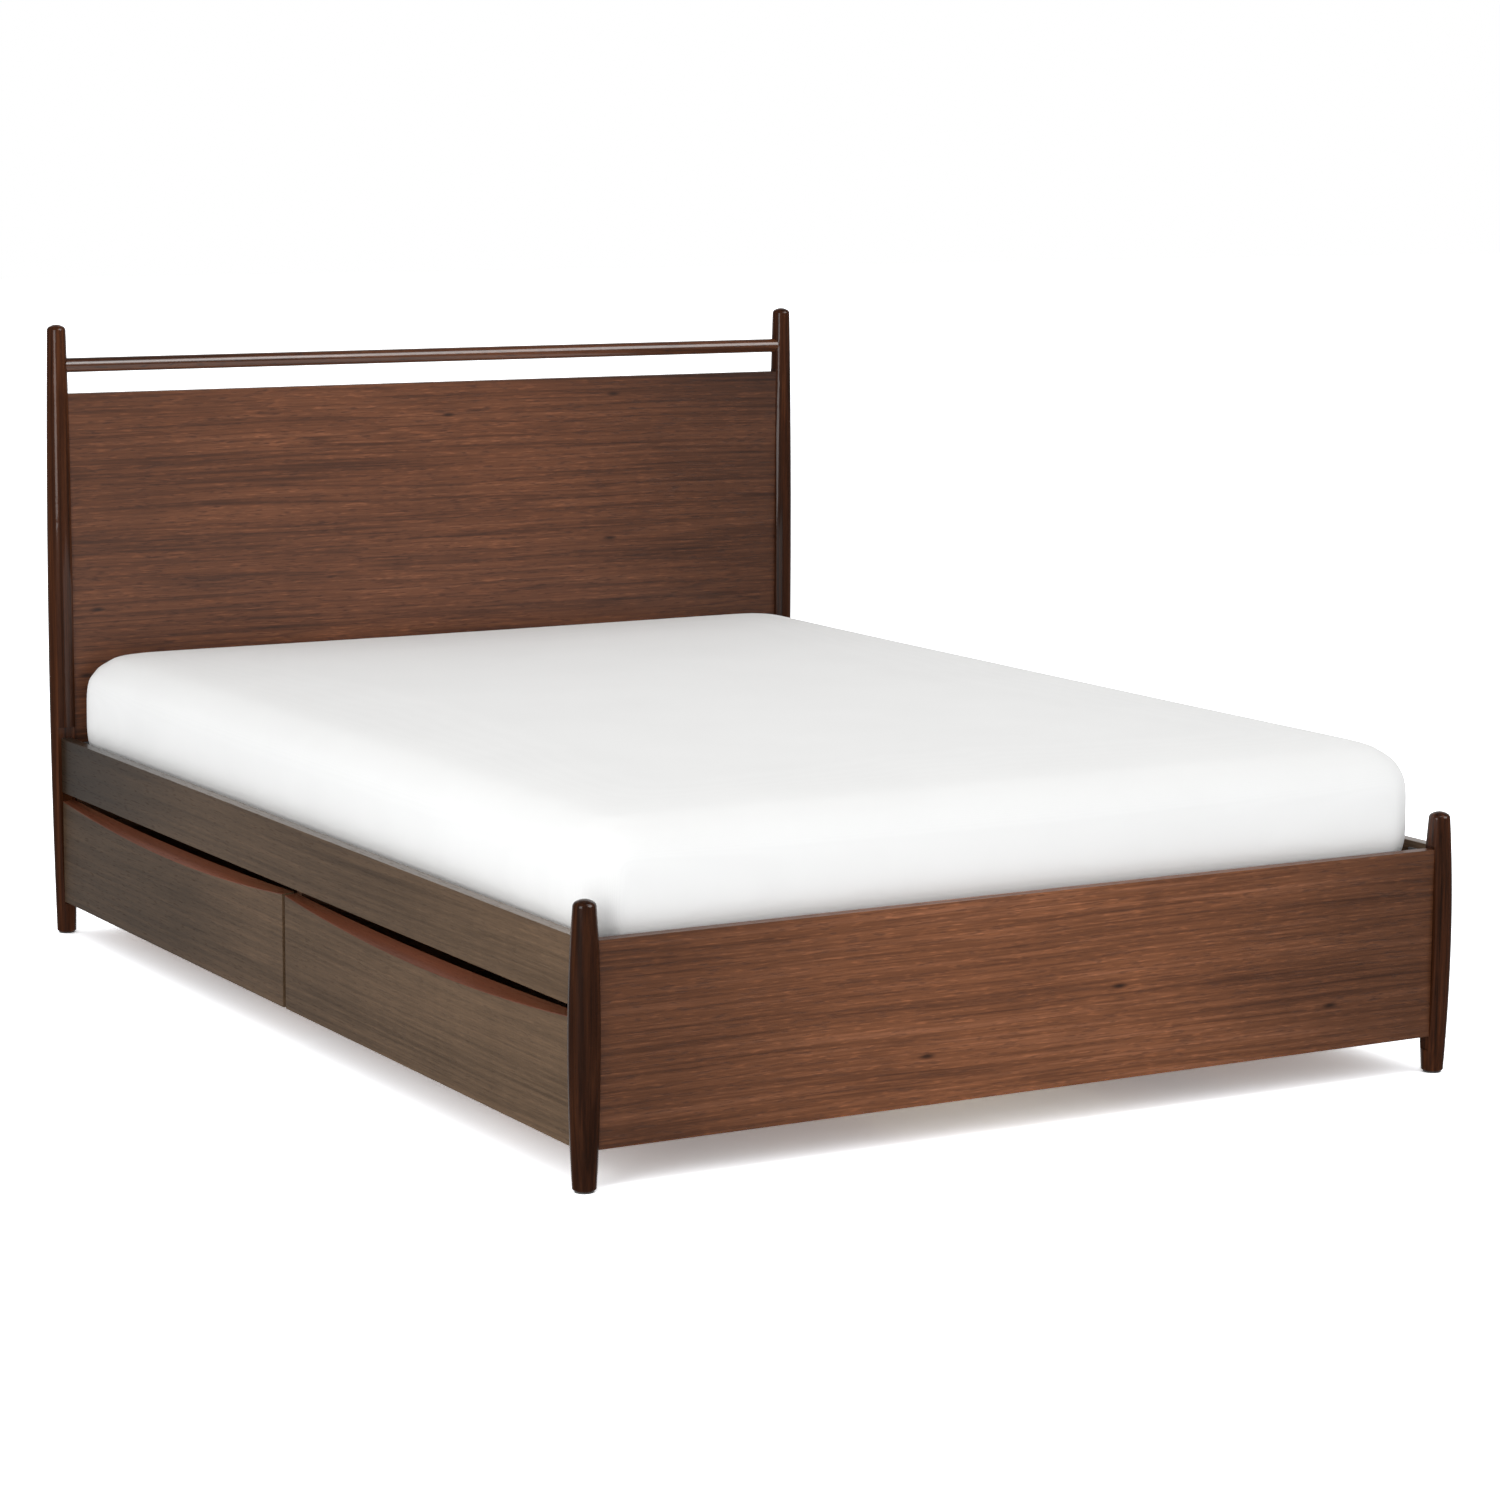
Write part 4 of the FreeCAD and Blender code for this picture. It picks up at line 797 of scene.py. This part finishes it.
class BED_OT_mattress(bpy.types.Operator):
    """Make the mattress and the fitted sheet stretched over it"""

    bl_idname = "bed.mattress"
    bl_label = "Mattress and sheet"

    def execute(self, context):
        settings = context.scene.bed_bedding
        core = self.make_core(settings)
        sheet = self.make_cover(settings, core, "fitted_sheet", settings.cotton, 0.0, 0.4 * MM)
        hem = self.make_cover(settings, core, "sheet_hem", settings.hem, settings.hem_width, 1.3 * MM)
        return {"FINISHED"}

    def make_core(self, settings):
        """The foam block in its cover: inflated, flat below, its walls pulled in at the foot."""
        low, high = (Vector(c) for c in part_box("mattress"))
        room = 2 * settings.cloth_thickness + settings.fold_height / 2
        low += Vector((room, room, 3 * MM))
        high -= Vector((room, room, room))
        bm = rounded_block(low, high, settings.corner, settings.upper_round, settings.lower_round)
        core = new_piece("mattress_core", bm, cotton("mattress_ticking", settings.ticking, 2.5 * MM),
                         "mattress")
        remesh = core.modifiers.new("Even mesh", "REMESH")
        remesh.mode = "VOXEL"
        remesh.voxel_size = settings.mesh_size
        apply_modifiers(core)
        inflate(core, settings)
        fit_to_box(core, low, high)
        middle = (low + high) / 2
        rail_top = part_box("side_rail_left")[1][2]
        for vertex in core.data.vertices:
            place = vertex.co
            place.z = max(place.z, low.z)
            pull = settings.tuck * (1 - smoothstep(low.z, rail_top + 20 * MM, place.z))
            for axis in (0, 1):
                reach = (high[axis] - low[axis]) / 2
                share = smoothstep(reach - 120 * MM, reach, abs(place[axis] - middle[axis]))
                place[axis] -= math.copysign(pull * share, place[axis] - middle[axis])
        smooth = core.modifiers.new("Smooth", "SUBSURF")
        smooth.levels = smooth.render_levels = 1
        apply_modifiers(core)
        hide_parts("mattress")
        return core

    def make_cover(self, settings, core, name, colour, width, lift):
        """Cloth drawn over the core's own surface, open below: all of it, or where a width is given
        only the band of that width round the opening."""
        bm = bmesh.new()
        bm.from_mesh(core.data)
        bm.normal_update()
        low, high = (Vector(c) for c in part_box("mattress"))
        middle = (low + high) / 2
        reach = (high - low) / 2

        def uncovered(face):
            place = face.calc_center_median() - middle
            near = min(reach.x - abs(place.x), reach.y - abs(place.y))
            under = face.normal.z < -0.5
            if width and not (under and near > settings.turn_under - width):
                return True
            return under and near > settings.turn_under

        bmesh.ops.delete(bm, geom=[f for f in bm.faces if uncovered(f)], context="FACES")
        bm.normal_update()
        for vertex in bm.verts:
            vertex.co += vertex.normal * (lift + self.fold(settings, vertex.co, middle, reach))
        cover = new_piece(name, bm, cotton(f"cotton_{name}", colour, 1.2 * MM), "mattress")
        cloth = cover.modifiers.new("Cloth", "SOLIDIFY")
        cloth.thickness = settings.cloth_thickness
        cloth.offset = 1.0
        apply_modifiers(cover)
        return cover

    def fold(self, settings, place, middle, reach):
        """How far the sheet stands off: short upright folds low on the walls, near the corners."""
        x, y = abs(place.x - middle.x), abs(place.y - middle.y)
        wall = max(smoothstep(reach.x - 60 * MM, reach.x - 25 * MM, x),
                   smoothstep(reach.y - 60 * MM, reach.y - 25 * MM, y))
        rise = (place.z - middle.z) / reach.z
        from_corner = math.hypot(reach.x - x, reach.y - y)
        near = math.exp(-(from_corner / 0.28) ** 2)
        lowness = 1 - smoothstep(-0.6, 0.75, rise)
        ripple = noise.noise(Vector((place.x * 14, place.y * 14, place.z * 3)))
        return settings.fold_height * wall * lowness * (0.3 + near) * max(0.0, ripple + 0.35) / 1.3


class BED_PT_sidebar(bpy.types.Panel):
    """Lists what makes the bed, in order"""

    bl_label = "Storage Bed"
    bl_idname = "BED_PT_sidebar"
    bl_space_type = "VIEW_3D"
    bl_region_type = "UI"
    bl_category = "Storage Bed"

    def draw(self, context):
        for step in STEPS:
            self.layout.operator(step.bl_idname)
        for group in ("bed_wood", "bed_bedding", "bed_stage"):
            box = self.layout.box()
            settings = getattr(context.scene, group)
            for name in settings.__annotations__:
                box.prop(settings, name)


STEPS = (BED_OT_stage, BED_OT_legs, BED_OT_panels, BED_OT_rails, BED_OT_drawers, BED_OT_platform,
         BED_OT_fixings, BED_OT_mattress)
CLASSES = (BedWood, BedBedding, BedStage) + STEPS + (BED_PT_sidebar,)


def register():
    for cls in CLASSES:
        bpy.utils.register_class(cls)
    bpy.types.Scene.bed_wood = PointerProperty(type=BedWood)
    bpy.types.Scene.bed_bedding = PointerProperty(type=BedBedding)
    bpy.types.Scene.bed_stage = PointerProperty(type=BedStage)


def unregister():
    for name in ("bed_wood", "bed_bedding", "bed_stage"):
        delattr(bpy.types.Scene, name)
    for cls in reversed(CLASSES):
        bpy.utils.unregister_class(cls)


def main():
    register()
    for step in STEPS:
        category, name = step.bl_idname.split(".")
        getattr(getattr(bpy.ops, category), name)()


if __name__ == "__main__":
    main()
